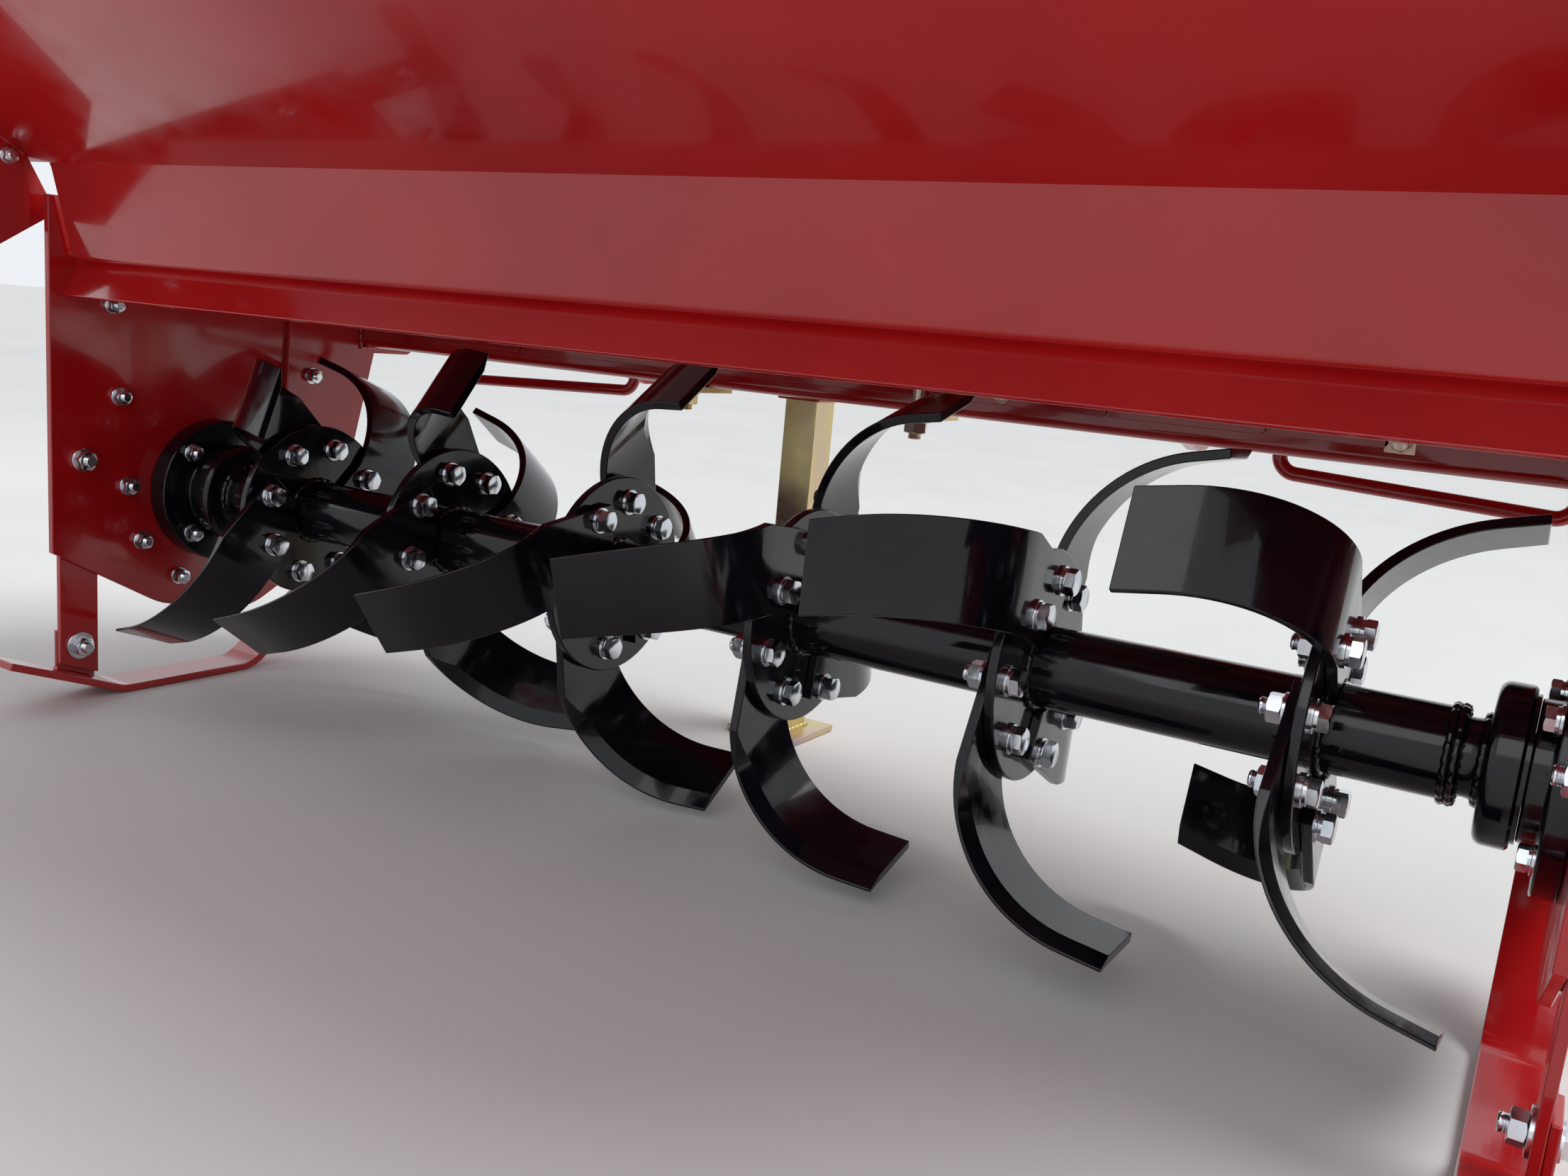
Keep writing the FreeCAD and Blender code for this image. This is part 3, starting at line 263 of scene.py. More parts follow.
class Piece:
    """A mesh being put together in millimetres, from the middle and the rotor's axis."""

    def __init__(self):
        self.mesh = bmesh.new()

    def skin(self, rings, loop=False, first=None):
        """Faces between rings, closed at both ends; a ring of one point closes to that point.

        With loop the last ring is joined to the first instead. Corners that are in the mesh
        already may come first as a ring of their own, which then isn't closed.
        """
        rows = [first] if first else []
        rows += [[self.mesh.verts.new(point) for point in ring] for ring in rings]
        pairs = list(zip(rows, rows[1:])) + ([(rows[-1], rows[0])] if loop else [])
        for low, high in pairs:
            count = max(len(low), len(high))
            for i in range(count):
                j = (i + 1) % count
                corners = [low[i % len(low)], low[j % len(low)], high[j % len(high)], high[i % len(high)]]
                self.mesh.faces.new([c for n, c in enumerate(corners) if c not in corners[:n]])
        if not loop:
            for row in rows[-1:] if first else (rows[0], rows[-1]):
                if len(row) > 2:
                    self.mesh.faces.new(row)

    def placed(self, rings, at, axis, turn=0.0, loop=False):
        """Rings drawn round +Z, put at a place and along an axis."""
        turned = facing(axis, turn)
        self.skin([[Vector(at) + turned @ point for point in ring] for ring in rings], loop)

    def lathe(self, at, axis, rows, sides=28, loop=False):
        """A turned shape: rows of (radius, height along the axis)."""
        rings = [[Vector((0, 0, height))] if radius == 0 else circle(radius, height, sides)
                 for radius, height in rows]
        self.placed(rings, at, axis, loop=loop)

    def slab(self, outline, thick):
        """A flat outline with a thickness."""
        self.skin([[Vector(point) for point in outline],
                   [Vector(point) + Vector(thick) for point in outline]])

    def washer(self, at, axis, radius, wall):
        """A washer, its outer edge chamfered."""
        edge = min(WASHER_EDGE, wall / 3)
        self.lathe(at, axis, ((0, 0), (radius, 0), (radius, wall - edge), (radius - edge, wall), (0, wall)))

    def hex(self, at, axis, across, low, high, both=False, turn=0.0):
        """A hexagon from low to high along its axis, its corners chamfered on top or at both ends."""
        crown = across / 2 * HEX_CROWN
        foot = [hexagon(across, low)]
        if both:
            foot = [circle(crown, low, HEX_POINTS), hexagon(across, low, crown, -1)]
        top = [hexagon(across, high, crown), circle(crown, high, HEX_POINTS)]
        self.placed(foot + top, at, axis, turn)

    def thread(self, at, axis, radius, low, high):
        """A bolt's end: ridges, then a chamfer."""
        rows = [(0, low), (radius, low)]
        height = low
        while height + THREAD_PITCH < high - THREAD_CHAMFER:
            rows += [(radius - THREAD_DEPTH, height + THREAD_PITCH / 2), (radius, height + THREAD_PITCH)]
            height += THREAD_PITCH
        rows += [(radius, high - THREAD_CHAMFER), (radius - THREAD_CHAMFER, high), (0, high)]
        self.lathe(at, axis, rows, sides=16)

    def head(self, at, axis, thread, spring=False, turn=0.0, washer=None):
        """A bolt's head on its washer, which may have its own radius, and on a spring washer."""
        rise = WASHER_WALL * thread
        self.washer(at, axis, washer or thread, rise)
        if spring:
            reach = SPRING_REACH * thread
            self.lathe(at, axis, ((0, rise), (reach, rise), (reach, 2 * rise), (0, 2 * rise)))
            rise *= 2
        self.hex(at, axis, HEX_ACROSS * thread, rise, rise + HEAD_RISE * thread, turn=turn)

    def nut(self, at, axis, thread, turn=0.0, out=0.45, washer=None):
        """A nut on its washer with the bolt's end coming through."""
        rise = WASHER_WALL * thread
        self.washer(at, axis, washer or thread, rise)
        self.hex(at, axis, HEX_ACROSS * thread, rise, rise + NUT_RISE * thread, True, turn)
        self.thread(at, axis, thread / 2, rise + THREAD_START * thread, rise + (NUT_RISE + out) * thread)

    def sweep(self, points, radius, sides, loop=False, ripple=0.0):
        """A round bar along points; with ripple it swells and thins like a weld bead."""
        rings = []
        count = len(points)
        side = None
        for i, point in enumerate(points):
            before = points[i - 1] if i or loop else point
            after = points[(i + 1) % count] if i < count - 1 or loop else point
            run = (after - before).normalized()
            if side is None:
                side = run.orthogonal()
            side = (side - run * side.dot(run)).normalized()
            up = run.cross(side)
            wide = radius * (1 + ripple * sin(360 * i / RIPPLE_POINTS))
            rings.append([point + (side * cos(turn) + up * sin(turn)) * wide for turn in turns_round(sides)])
        self.skin(rings, loop)

    def bead(self, points, radius=2.6, loop=False):
        """A weld bead along straight runs between points."""
        stops = [Vector(point) for point in points]
        if loop:
            stops.append(stops[0])
        line = []
        for start, end in zip(stops, stops[1:]):
            parts = max(1, round((end - start).length / BEAD_STEP))
            line += [start.lerp(end, i / parts) for i in range(parts)]
        if not loop:
            line.append(stops[-1])
        self.sweep(line, radius, BEAD_SIDES, loop, RIPPLE_DEPTH)

    def ring_bead(self, at, axis, ring_radius, radius):
        """A weld bead round an axis."""
        ripples = max(LEAST_RIPPLES, round(2 * math.pi * ring_radius / BEAD_STEP / RIPPLE_POINTS))
        line = round_places(at, axis, ring_radius, ripples * RIPPLE_POINTS)
        self.sweep(line, radius, BEAD_SIDES, True, RIPPLE_DEPTH)

    def make(self, name, look, body, slot, bevel=0.0, sharp=38):
        """The piece as an object that rides on a body."""
        for vert in self.mesh.verts:
            vert.co = spot(*vert.co)
        bmesh.ops.recalc_face_normals(self.mesh, faces=self.mesh.faces)
        return add(name, self.mesh, look, body, slot, bevel, sharp)


BEVEL_SEGMENTS, BEVEL_FROM = 2, 30


def add(name, drawn, look, body, slot, bevel, sharp):
    """An object from a drawn mesh, smooth, with edges over that many degrees left sharp.

    It rides on a body, and a bevel that wide rounds its edges.
    """
    for face in drawn.faces:
        face.smooth = True
    for edge in drawn.edges:
        edge.smooth = edge.calc_face_angle(0) < math.radians(sharp)
    mesh = bpy.data.meshes.new(name)
    drawn.to_mesh(mesh)
    drawn.free()
    mesh.materials.append(look)
    piece = bpy.data.objects.new(name, mesh)
    scene.collection.objects.link(piece)
    if bevel:
        edges = piece.modifiers.new("edges", "BEVEL")
        edges.width = bevel / 1000
        edges.segments = BEVEL_SEGMENTS
        edges.limit_method = "ANGLE"
        edges.angle_limit = math.radians(BEVEL_FROM)
        edges.use_clamp_overlap = False
        edges.harden_normals = True
    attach(piece, body)
    return piece


# The nodes whose shape is right get rounded edges: each node and its bevel's width.
MERGE_METRES, FLAT_UNDER, NODE_SHARP = 2e-6, 0.4, 30
EDGES = {
    "side_plate_left": 1.2, "side_plate_right": 1.2, "toolbar": 0.6, "hood": 0.9,
    "plate_strap_left": 1.0, "plate_strap_right": 1.0, "skid_left": 1.5, "skid_right": 1.5,
    "skid_hangers_left": 1.2, "skid_hangers_right": 1.2, "drive_case": 3.0, "drive_case_cover": 2.0,
    "cross_tube": 1.2, "gearbox": 2.5, "gearbox_front_cover": 2.0, "gearbox_rear_cover": 2.0,
    "gearbox_side_cover": 2.0, "mast_upright_left": 1.5, "mast_upright_right": 1.5,
    "mast_stay_left": 1.2, "mast_stay_right": 1.2, "stay_lug": 2.0, "link_plate_left": 1.5,
    "link_plate_right": 1.5, "leg_sleeve": 1.0, "parking_leg": 1.6, "tailboard_leaf": 0.8,
    "tailboard_panel": 0.8, "tailboard_wing_left": 0.8, "tailboard_wing_right": 0.8,
    "bearing_housing_left": 2.0, "bearing_housing_right": 2.0, "bearing_cap": 2.5,
    "rotor_flanges": 1.5, "input_shield": 0.8,
}


def dress(name, bevel):
    """A copy of a node with rounded edges, in the node's place."""
    copy = bmesh.new()
    copy.from_mesh(nodes[name].data)
    bmesh.ops.remove_doubles(copy, verts=copy.verts, dist=MERGE_METRES)
    bmesh.ops.dissolve_limit(copy, angle_limit=math.radians(FLAT_UNDER), verts=copy.verts, edges=copy.edges)
    slot = slot_of[name]
    piece = add(name + "_edges", copy, SLOT_MATERIAL[slot], body_of[name], slot, bevel, NODE_SHARP)
    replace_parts(piece, name)


for name, bevel in EDGES.items():
    dress(name, bevel)

# Tines: smooth bent bands, each ground along its leading edge.
GRIND_WIDTH, GRIND_LAND, GRIND_RUNOUT = 15, 2.6, 36
BEND_SECTIONS, HEEL_POINTS = 21, 13
TINE_SHARP = 14
SLOT_TURN = 360 / FLANGE_BOLTS
flange_pitch = (2 * PLATE_HALF - FIRST_FLANGE - LAST_FLANGE) / (FLANGES - 1)
flange_x = [-PLATE_HALF + FIRST_FLANGE + k * flange_pitch for k in range(FLANGES)]


def tine_rings():
    """A tine's sections past its shank, in the shank's own plane, as in the part's source but closer.

    The leading edge is ground from the inside of the bend, down to a narrow land.
    """
    arc = TINE_BEND_RADIUS * math.radians(TINE_BEND)
    length = arc + TINE_TIP
    half = TINE_WIDTH / 2
    lean = Vector((0, TINE_LEAN, -1)).normalized()
    rings = []
    for gone in spread(0, arc, BEND_SECTIONS)[1:] + [length]:
        turn = min(gone, arc) / TINE_BEND_RADIUS
        past = max(0.0, gone - arc)
        side = TINE_BEND_RADIUS * (1 - math.cos(turn)) + past * math.sin(turn)
        along = TINE_BEND_RADIUS * math.sin(turn) + past * math.cos(turn)
        off = Vector((math.sin(turn), math.cos(turn), 0)).cross(lean).normalized() * (TINE_WALL / 2)
        narrow = TINE_TAPER * gone / length
        corners = []
        for edge in (-1, 1):
            start = TINE_SHANK + TINE_LEAN * edge * half
            across = edge * (half - narrow) - TINE_DRIFT * gone
            corners.append(Vector((side, start + along, -across)))
        trailing, leading = corners
        ground = min(1, gone / GRIND_RUNOUT)
        land = leading - off * (1 - 2 * ground * (TINE_WALL - GRIND_LAND) / TINE_WALL)
        slope = leading - off + (trailing - leading).normalized() * ground * GRIND_WIDTH
        rings.append([trailing - off, trailing + off, leading + off, land, slope])
    return rings


def tine_shank():
    """Outline of the flat shank (along, across), its heel cut round the rotor's tube, from bend to bend."""
    half = TINE_WIDTH / 2
    middle = TINE_OFFSET * Vector((-sin(TINE_SWEEP), cos(TINE_SWEEP)))
    radius = TUBE_RADIUS + HEEL_CLEARANCE
    start = math.asin((half - middle.y) / radius)
    end = -math.acos((-TINE_HEEL - middle.x) / radius)
    heel = [middle + radius * Vector((math.cos(turn), math.sin(turn)))
            for turn in spread(start, end, HEEL_POINTS)]
    return [Vector((TINE_SHANK - TINE_LEAN * half, half)), *heel,
            Vector((-TINE_HEEL, -half)), Vector((TINE_SHANK + TINE_LEAN * half, -half))]


def tine(piece, place):
    """A tine: the shank's two faces and its edges, then the bend from the shank's end."""
    inside, outside = [[piece.mesh.verts.new(place @ Vector((face, *point))) for point in tine_shank()]
                       for face in (TINE_WALL / 2, -TINE_WALL / 2)]
    piece.mesh.faces.new(inside)
    piece.mesh.faces.new(outside)
    for i in range(len(inside) - 1):
        piece.mesh.faces.new((inside[i], inside[i + 1], outside[i + 1], outside[i]))
    end = [inside[0], outside[0], outside[-1], inside[-1], inside[-1]]
    piece.skin([[place @ point for point in ring] for ring in tine_rings()], first=end)


def tine_place(x, turn, mirrored):
    """Where a tine's own plane goes on the flange at x, its shank at a turn from the top forwards."""
    offset = (FLANGE_WALL + TINE_WALL) / 2
    flip = Matrix.Scale(-1, 4, RIGHT) if mirrored else Matrix()
    return (Matrix.Translation((x + offset if mirrored else x - offset, 0, 0))
            @ Matrix.Rotation(math.radians(-turn), 4, "X") @ Matrix.Translation((0, 0, TINE_OFFSET))
            @ Matrix.Rotation(math.radians(180 - TINE_SWEEP), 4, "X") @ flip)


tines = Piece()
for k, x in enumerate(flange_x):
    for slot, mirrored in TINE_SLOTS:
        tine(tines, tine_place(x, FIRST_TURN + k * FLANGE_TURN + slot * SLOT_TURN, mirrored))
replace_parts(tines.make("tines", black, "rotor", "black_paint", bevel=1.0, sharp=TINE_SHARP), "rotor_tines")

# Flanges: two bolts hold each tine, and a bead runs round the tube on either side.
FLANGE_BEAD, FLANGE_BEAD_OFF = 3.2, 1
mirrored_at = {j % FLANGE_BOLTS: mirrored
               for slot, mirrored in TINE_SLOTS for j in (math.floor(slot), math.ceil(slot))}

bolts = Piece()
flange_welds = Piece()
for k, x in enumerate(flange_x):
    for j in range(FLANGE_BOLTS):
        turn = FIRST_TURN + k * FLANGE_TURN + j * SLOT_TURN
        y, z = FLANGE_BOLT_CIRCLE * sin(turn), FLANGE_BOLT_CIRCLE * cos(turn)
        right = x + FLANGE_WALL / 2 + (TINE_WALL if mirrored_at[j] else 0)
        left = x - FLANGE_WALL / 2 - (0 if mirrored_at[j] else TINE_WALL)
        bolts.head((right, y, z), RIGHT, M12, spring=True, turn=17 * j + 11 * k)
        bolts.nut((left, y, z), LEFT, M12, turn=23 * j + 7 * k)
    for sign in (-1, 1):
        at = (x + sign * (FLANGE_WALL / 2 + FLANGE_BEAD_OFF), 0, 0)
        flange_welds.ring_bead(at, RIGHT, TUBE_RADIUS + 0.6, FLANGE_BEAD)
bolts.make("rotor_bolts", zinc, "rotor", "bright_steel")
flange_welds.make("rotor_welds", black, "rotor", "black_paint", sharp=BEAD_SHARP)

# Rotor shaft: stubs, collars, the tube and its narrower neck at the right.
STUB_RADIUS, STUB_END, STUB_EDGE = 25, 691, 1.5
COLLAR_RADIUS, COLLAR_WIDTH, COLLAR_EDGE = 55, 22, 2
COLLAR_SHOULDER, COLLAR_FILLET = 6.5, 9
LEFT_COLLAR, RIGHT_COLLAR = -651, 638
NECK_START, NECK_RADIUS, TUBE_EDGE = 622, 27, 2
SEAL_LIP, SEAL_REACH = 50, 2.8


def collar(root, near, far):
    """Rows of (radius, place) for a collar, from the tube's surface to the stub's.

    Its foot has a fillet, its inner shoulder is round, and a lip comes close to the housing's nose.
    """
    way = 1 if far > near else -1
    quarter = spread(0, 90, 6)
    fillet = [(root + COLLAR_FILLET * (1 - cos(turn)), near - way * COLLAR_FILLET * (1 - sin(turn)))
              for turn in quarter]
    shoulder = [(COLLAR_RADIUS - COLLAR_SHOULDER * (1 - sin(turn)),
                 near + way * COLLAR_SHOULDER * (1 - cos(turn))) for turn in quarter]
    lip = [(COLLAR_RADIUS, far - way * COLLAR_EDGE), (COLLAR_RADIUS - COLLAR_EDGE, far), (SEAL_LIP, far),
           (SEAL_LIP, far + way * SEAL_REACH), (STUB_RADIUS, far + way * SEAL_REACH)]
    rows = fillet + shoulder + lip
    return rows if way > 0 else rows[::-1]


tube = Piece()
tube.lathe((0, 0, 0), RIGHT, (
    [(0, -STUB_END), (STUB_RADIUS - STUB_EDGE, -STUB_END), (STUB_RADIUS, -STUB_END + STUB_EDGE)]
    + collar(TUBE_RADIUS, LEFT_COLLAR + COLLAR_WIDTH, LEFT_COLLAR)
    + [(TUBE_RADIUS, NECK_START - TUBE_EDGE), (TUBE_RADIUS - TUBE_EDGE, NECK_START),
       (NECK_RADIUS, NECK_START)]
    + collar(NECK_RADIUS, RIGHT_COLLAR, RIGHT_COLLAR + COLLAR_WIDTH)
    + [(STUB_RADIUS, STUB_END - STUB_EDGE), (STUB_RADIUS - STUB_EDGE, STUB_END), (0, STUB_END)]), sides=56)
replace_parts(tube.make("rotor_tube", black, "rotor", "black_paint"), "rotor_shaft")

# Beads in the collars' fillets and over the tube's right end: rows of (place, ring's radius, radius).
IN_FILLET = 1.6
END_BEADS = (
    (LEFT_COLLAR + COLLAR_WIDTH + IN_FILLET, TUBE_RADIUS + IN_FILLET, 3.4),
    (NECK_START - 6, TUBE_RADIUS, 3.0), (NECK_START - 1, TUBE_RADIUS - 0.5, 3.6),
    (RIGHT_COLLAR - IN_FILLET, NECK_RADIUS + IN_FILLET, 3.4))

end_welds = Piece()
for x, ring_radius, radius in END_BEADS:
    end_welds.ring_bead((x, 0, 0), RIGHT, ring_radius, radius)
end_welds.make("rotor_end_welds", black, "rotor", "black_paint", sharp=BEAD_SHARP)

# Fasteners on the frame: places (forward, up) from the rotor's axis.
CASE_NUTS = ((-122, 202), (-115, 105), (-106, 8), (-90, -54), (-44, -99), (44, -99), (90, -54), (106, 8))
HUB_CIRCLE, HUB_BOLTS, HUB_TURN = 64, 4, 45
LEFT_HUB_FACE, RIGHT_HUB_FACE = -667, 676
HANGER_BOLTS, HANGER_WASHER = ((-157, 38), (169, 2)), 13
EAR_BOLTS, EAR_WASHER = ((-157, -165.7), (169, -76.7)), 15
STRAP_BOLT = (129, 133)
STRAP_WALL, HANGER_WALL, EAR_WALL = 7, 7, 6
PLATE_OUT = PLATE_HALF + PLATE_WALL

fasteners = Piece()
for n, place in enumerate(CASE_NUTS):
    fasteners.nut((-PLATE_HALF, *place), RIGHT, M10, turn=31 * n)
for n, point in enumerate(round_places((0, 0, 0), RIGHT, HUB_CIRCLE, HUB_BOLTS, HUB_TURN)):
    fasteners.nut((LEFT_HUB_FACE, *point.yz), RIGHT, M10, turn=33 * n)
    fasteners.head((RIGHT_HUB_FACE, *point.yz), LEFT, M10, spring=True, turn=41 * n)
    fasteners.nut((PLATE_OUT, *point.yz), RIGHT, M10, turn=29 * n)
for sign in (-1, 1):
    inward, outward = (-sign, 0, 0), (sign, 0, 0)
    for n, place in enumerate(HANGER_BOLTS):
        fasteners.nut((sign * PLATE_HALF, *place), inward, M12, turn=20 + 25 * n)
        fasteners.head((sign * (PLATE_OUT + HANGER_WALL), *place), outward, M12, turn=10,
                       washer=HANGER_WASHER)
    for n, place in enumerate(EAR_BOLTS):
        fasteners.head((sign * (PLATE_OUT + HANGER_WALL + EAR_WALL), *place), outward, M12, turn=40 * n)
        fasteners.nut((sign * PLATE_OUT, *place), inward, M12, turn=15, washer=EAR_WASHER)
    fasteners.nut((sign * (PLATE_HALF - STRAP_WALL), *STRAP_BOLT), inward, M10, turn=12)
fasteners.make("frame_fasteners", zinc, "frame", "bright_steel")

# Drive case: bolts round its cover and on the bosses over both shafts.
CASE_FOOT, CASE_CROWN, CASE_OUT = 122, 145, -768
COVER_BOLT_INSET, COVER_BOLTS = 25, 16
BOSS_OUT, BOSS_BOLT_INSET, BOSS_TURN = -777, 11, 30
BOSSES = ((0, 48, 4), (PTO_RISE, 60, 6))


def case_line(inset):
    """The drive case's outline (across, forward, up), that far inside its edge: two arcs joined."""
    low, high = CASE_FOOT - inset, CASE_CROWN - inset
    lean = math.degrees(math.asin((high - low) / PTO_RISE))
    foot = [Vector((0, low * cos(turn), low * sin(turn))) for turn in spread(180 + lean, 360 - lean, 19)]
    crown = [Vector((0, high * cos(turn), PTO_RISE + high * sin(turn)))
             for turn in spread(-lean, 180 + lean, 25)]
    return foot + crown


case_bolts = Piece()
for n, point in enumerate(walk(case_line(COVER_BOLT_INSET), COVER_BOLTS)):
    case_bolts.head(point + Vector((CASE_OUT, 0, 0)), LEFT, M8, spring=True, turn=37 * n)
for up, boss, count in BOSSES:
    places = round_places((BOSS_OUT, 0, up), LEFT, boss - BOSS_BOLT_INSET, count, BOSS_TURN)
    for n, point in enumerate(places):
        case_bolts.head(point, LEFT, M8, turn=23 * n)
case_bolts.make("drive_case_bolts", zinc, "frame", "bright_steel")

# Gearbox: bolts on its covers and its tube's flange, rows of (middle, way out, bolt circle, thread).
BOX_HALF_WIDTH, BOX_HALF_LENGTH, BOX_TOP = 85, 90, 500
FRONT_FACE, REAR_FACE, SIDE_FACE, FLANGE_FACE = 116, -104, 101, -688
COVERS = (
    ((0, FRONT_FACE, PTO_RISE), FRONT, 68, M8), ((0, REAR_FACE, PTO_RISE), REAR, 58, M8),
    ((SIDE_FACE, 0, PTO_RISE), RIGHT, 55, M8), ((-SIDE_FACE, 0, PTO_RISE), LEFT, 54, M8),
    ((FLANGE_FACE, 0, PTO_RISE), RIGHT, 60, M10))
GEARBOX_COVER_BOLTS, COVER_TURN = 6, 30
FOOT_TOP, FOOT_BOLT_OUT, FOOT_BOLT_AHEAD = 315, 97, 52

gearbox_bolts = Piece()
for at, axis, radius, thread in COVERS:
    for n, point in enumerate(round_places(at, axis, radius, GEARBOX_COVER_BOLTS, COVER_TURN)):
        gearbox_bolts.head(point, axis, thread, spring=True, turn=19 * n)
for y in (FOOT_BOLT_AHEAD, -FOOT_BOLT_AHEAD):
    for sign in (-1, 1):
        gearbox_bolts.head((sign * FOOT_BOLT_OUT, y, FOOT_TOP), UP, M14, turn=FOOT_BOLT_OUT + y * sign)
gearbox_bolts.make("gearbox_bolts", zinc, "frame", "bright_steel")

# Oil plugs of the drive case, then of the gearbox: rows of (place, way out, thread, turn).
CASE_MIDDLE = -729
PLUGS = (
    ((CASE_MIDDLE, 0, PTO_RISE + CASE_CROWN - 1), UP, M18, 8),
    ((CASE_MIDDLE, 0, -CASE_FOOT + 1), DOWN, M16, 22),
    ((CASE_OUT, 0, 128), LEFT, M14, 14),
    ((56, 24, BOX_TOP), UP, M18, 12),
    ((BOX_HALF_WIDTH, 64, 352), RIGHT, M12, 5),
    ((0, -BOX_HALF_LENGTH + 8, 318), REAR, M12, 5))

plugs = Piece()
for at, axis, thread, turn in PLUGS:
    plugs.head(at, axis, thread, turn=turn)
plugs.make("oil_plugs", gold, "frame", "yellow_zinc")

# Cast ribs down to the foot, and one over each side cover: rows of (middle, reach, foot, lip, top).
RIB_HALF, RIB_ROOT = 4, 3
FOOT_RIBS = [(middle, 22, FOOT_TOP - 2, FOOT_TOP + 4, FOOT_TOP + 22) for middle in (-70, 0, 70)]
HIGH_RIB = (0, 10, 458, 474, 492)

ribs = Piece()
for sign in (-1, 1):
    for middle, reach, foot, lip, top in [*FOOT_RIBS, HIGH_RIB]:
        outline = ((-RIB_ROOT, foot), (reach, foot), (reach, lip), (0, top), (-RIB_ROOT, top))
        ribs.slab([(sign * (BOX_HALF_WIDTH + out), middle - RIB_HALF, up) for out, up in outline],
                  (0, 2 * RIB_HALF, 0))
ribs.make("gearbox_ribs", casting, "frame", "grey_casting", bevel=2.0)

# Breather: a hexagon with a cap, rows of (radius, height).
BREATHER_PLACE, BREATHER_ACROSS, BREATHER_HEX = (-56, 24), 17, 7
BREATHER_CAP = ((0, 0), (4, 0), (4, 4), (10, 5), (10.5, 6), (10.5, 13), (9, 16), (5, 17.5), (0, 18))

breather = Piece()
breather.hex((*BREATHER_PLACE, BOX_TOP), UP, BREATHER_ACROSS, 0, BREATHER_HEX)
breather.lathe((*BREATHER_PLACE, BOX_TOP + BREATHER_HEX), UP, BREATHER_CAP)
breather.make("gearbox_breather", gold, "frame", "yellow_zinc")


# Caps in the gearbox's rear and right covers.
def cap(radius):
    """Rows of (radius, height) for a cast cap with a raised rim and a boss in its middle."""
    return ((0, -1), (radius, -1), (radius, 2), (radius - 2, 4), (radius - 9, 5), (radius - 11, 3.5),
            (8, 3.5), (6, 5.5), (0, 6))


caps = Piece()
caps.lathe((0, REAR_FACE, PTO_RISE), REAR, cap(36), sides=48)
caps.lathe((SIDE_FACE, 0, PTO_RISE), RIGHT, cap(38), sides=48)
caps.make("gearbox_caps", casting, "frame", "grey_casting")

# Input shaft: splined end with its locking groove, journal and oil seal.
SPLINES, SPLINE_ROOT, SPLINE_CREST = 6, 14.6, 17.45
SPLINE_LENGTH, SPLINE_CHAMFER = 92, 3
CREST_HALF, ROOT_FROM, ROOT_MIDDLE = 14, 16, 30
GROOVE_FROM_TIP, GROOVE_HALF, GROOVE_SLOPE = 38, 4, 2
JOURNAL_RADIUS, JOURNAL_BACK, JOURNAL_LENGTH, JOURNAL_EDGE = 22, 91, 27, 2


def spline_ring(height, outer):
    """Six splines, each about as wide as the gap beside it."""
    ring = []
    for middle in turns_round(SPLINES):
        for turn, radius in ((-ROOT_FROM, SPLINE_ROOT), (-CREST_HALF, outer), (0, outer), (CREST_HALF, outer),
                             (ROOT_FROM, SPLINE_ROOT), (ROOT_MIDDLE, SPLINE_ROOT)):
            reach = min(radius, outer)
            ring.append(Vector((reach * cos(middle + turn), reach * sin(middle + turn), height)))
    return ring


groove = SPLINE_LENGTH - GROOVE_FROM_TIP
input_shaft = Piece()
input_shaft.placed([spline_ring(height, radius) for height, radius in (
    (0, SPLINE_CREST), (groove - GROOVE_HALF - GROOVE_SLOPE, SPLINE_CREST),
    (groove - GROOVE_HALF, SPLINE_ROOT), (groove + GROOVE_HALF, SPLINE_ROOT),
    (groove + GROOVE_HALF + GROOVE_SLOPE, SPLINE_CREST),
    (SPLINE_LENGTH - SPLINE_CHAMFER, SPLINE_CREST), (SPLINE_LENGTH, SPLINE_ROOT - 1))],
    (0, PTO_REACH - SPLINE_LENGTH, PTO_RISE), FRONT)
input_shaft.lathe((0, JOURNAL_BACK, PTO_RISE), FRONT, (
    (0, 0), (JOURNAL_RADIUS, 0), (JOURNAL_RADIUS, JOURNAL_LENGTH - JOURNAL_EDGE),
    (JOURNAL_RADIUS - JOURNAL_EDGE, JOURNAL_LENGTH), (0, JOURNAL_LENGTH)), sides=48)
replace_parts(input_shaft.make("splined_shaft", steel, "input_shaft", "bright_steel"), "input_shaft")

SEAL_BORE = JOURNAL_RADIUS + 0.6
SEAL_ROWS = ((SEAL_BORE, -4), (SEAL_BORE, 1), (26, 2.5), (31, 2.5), (32, 1.5), (32, -4))
seal = Piece()
seal.lathe((0, FRONT_FACE, PTO_RISE), FRONT, SEAL_ROWS, sides=48, loop=True)
seal.make("oil_seal", plastic, "frame", "black_plastic")

# Shield: a back plate bolted round the input shaft.
SHIELD_HALF, SHIELD_WALL, SHIELD_SKIRT, SHIELD_ROUND = 84, 4, 30, 62
BACK_PLATE_WALL, BACK_PLATE_HOLE = 3, 40


def shield_line(inset):
    """The shield's outline (across, up from the input shaft), closed along its lower edge."""
    half, corner = SHIELD_HALF - inset, SHIELD_ROUND - inset
    middle = half - corner
    right = [(middle + corner * cos(turn), middle + corner * sin(turn)) for turn in spread(0, 90, 13)]
    left = [(-x, z) for x, z in reversed(right)]
    return [(half, -SHIELD_SKIRT), *right, *left, (-half, -SHIELD_SKIRT)]


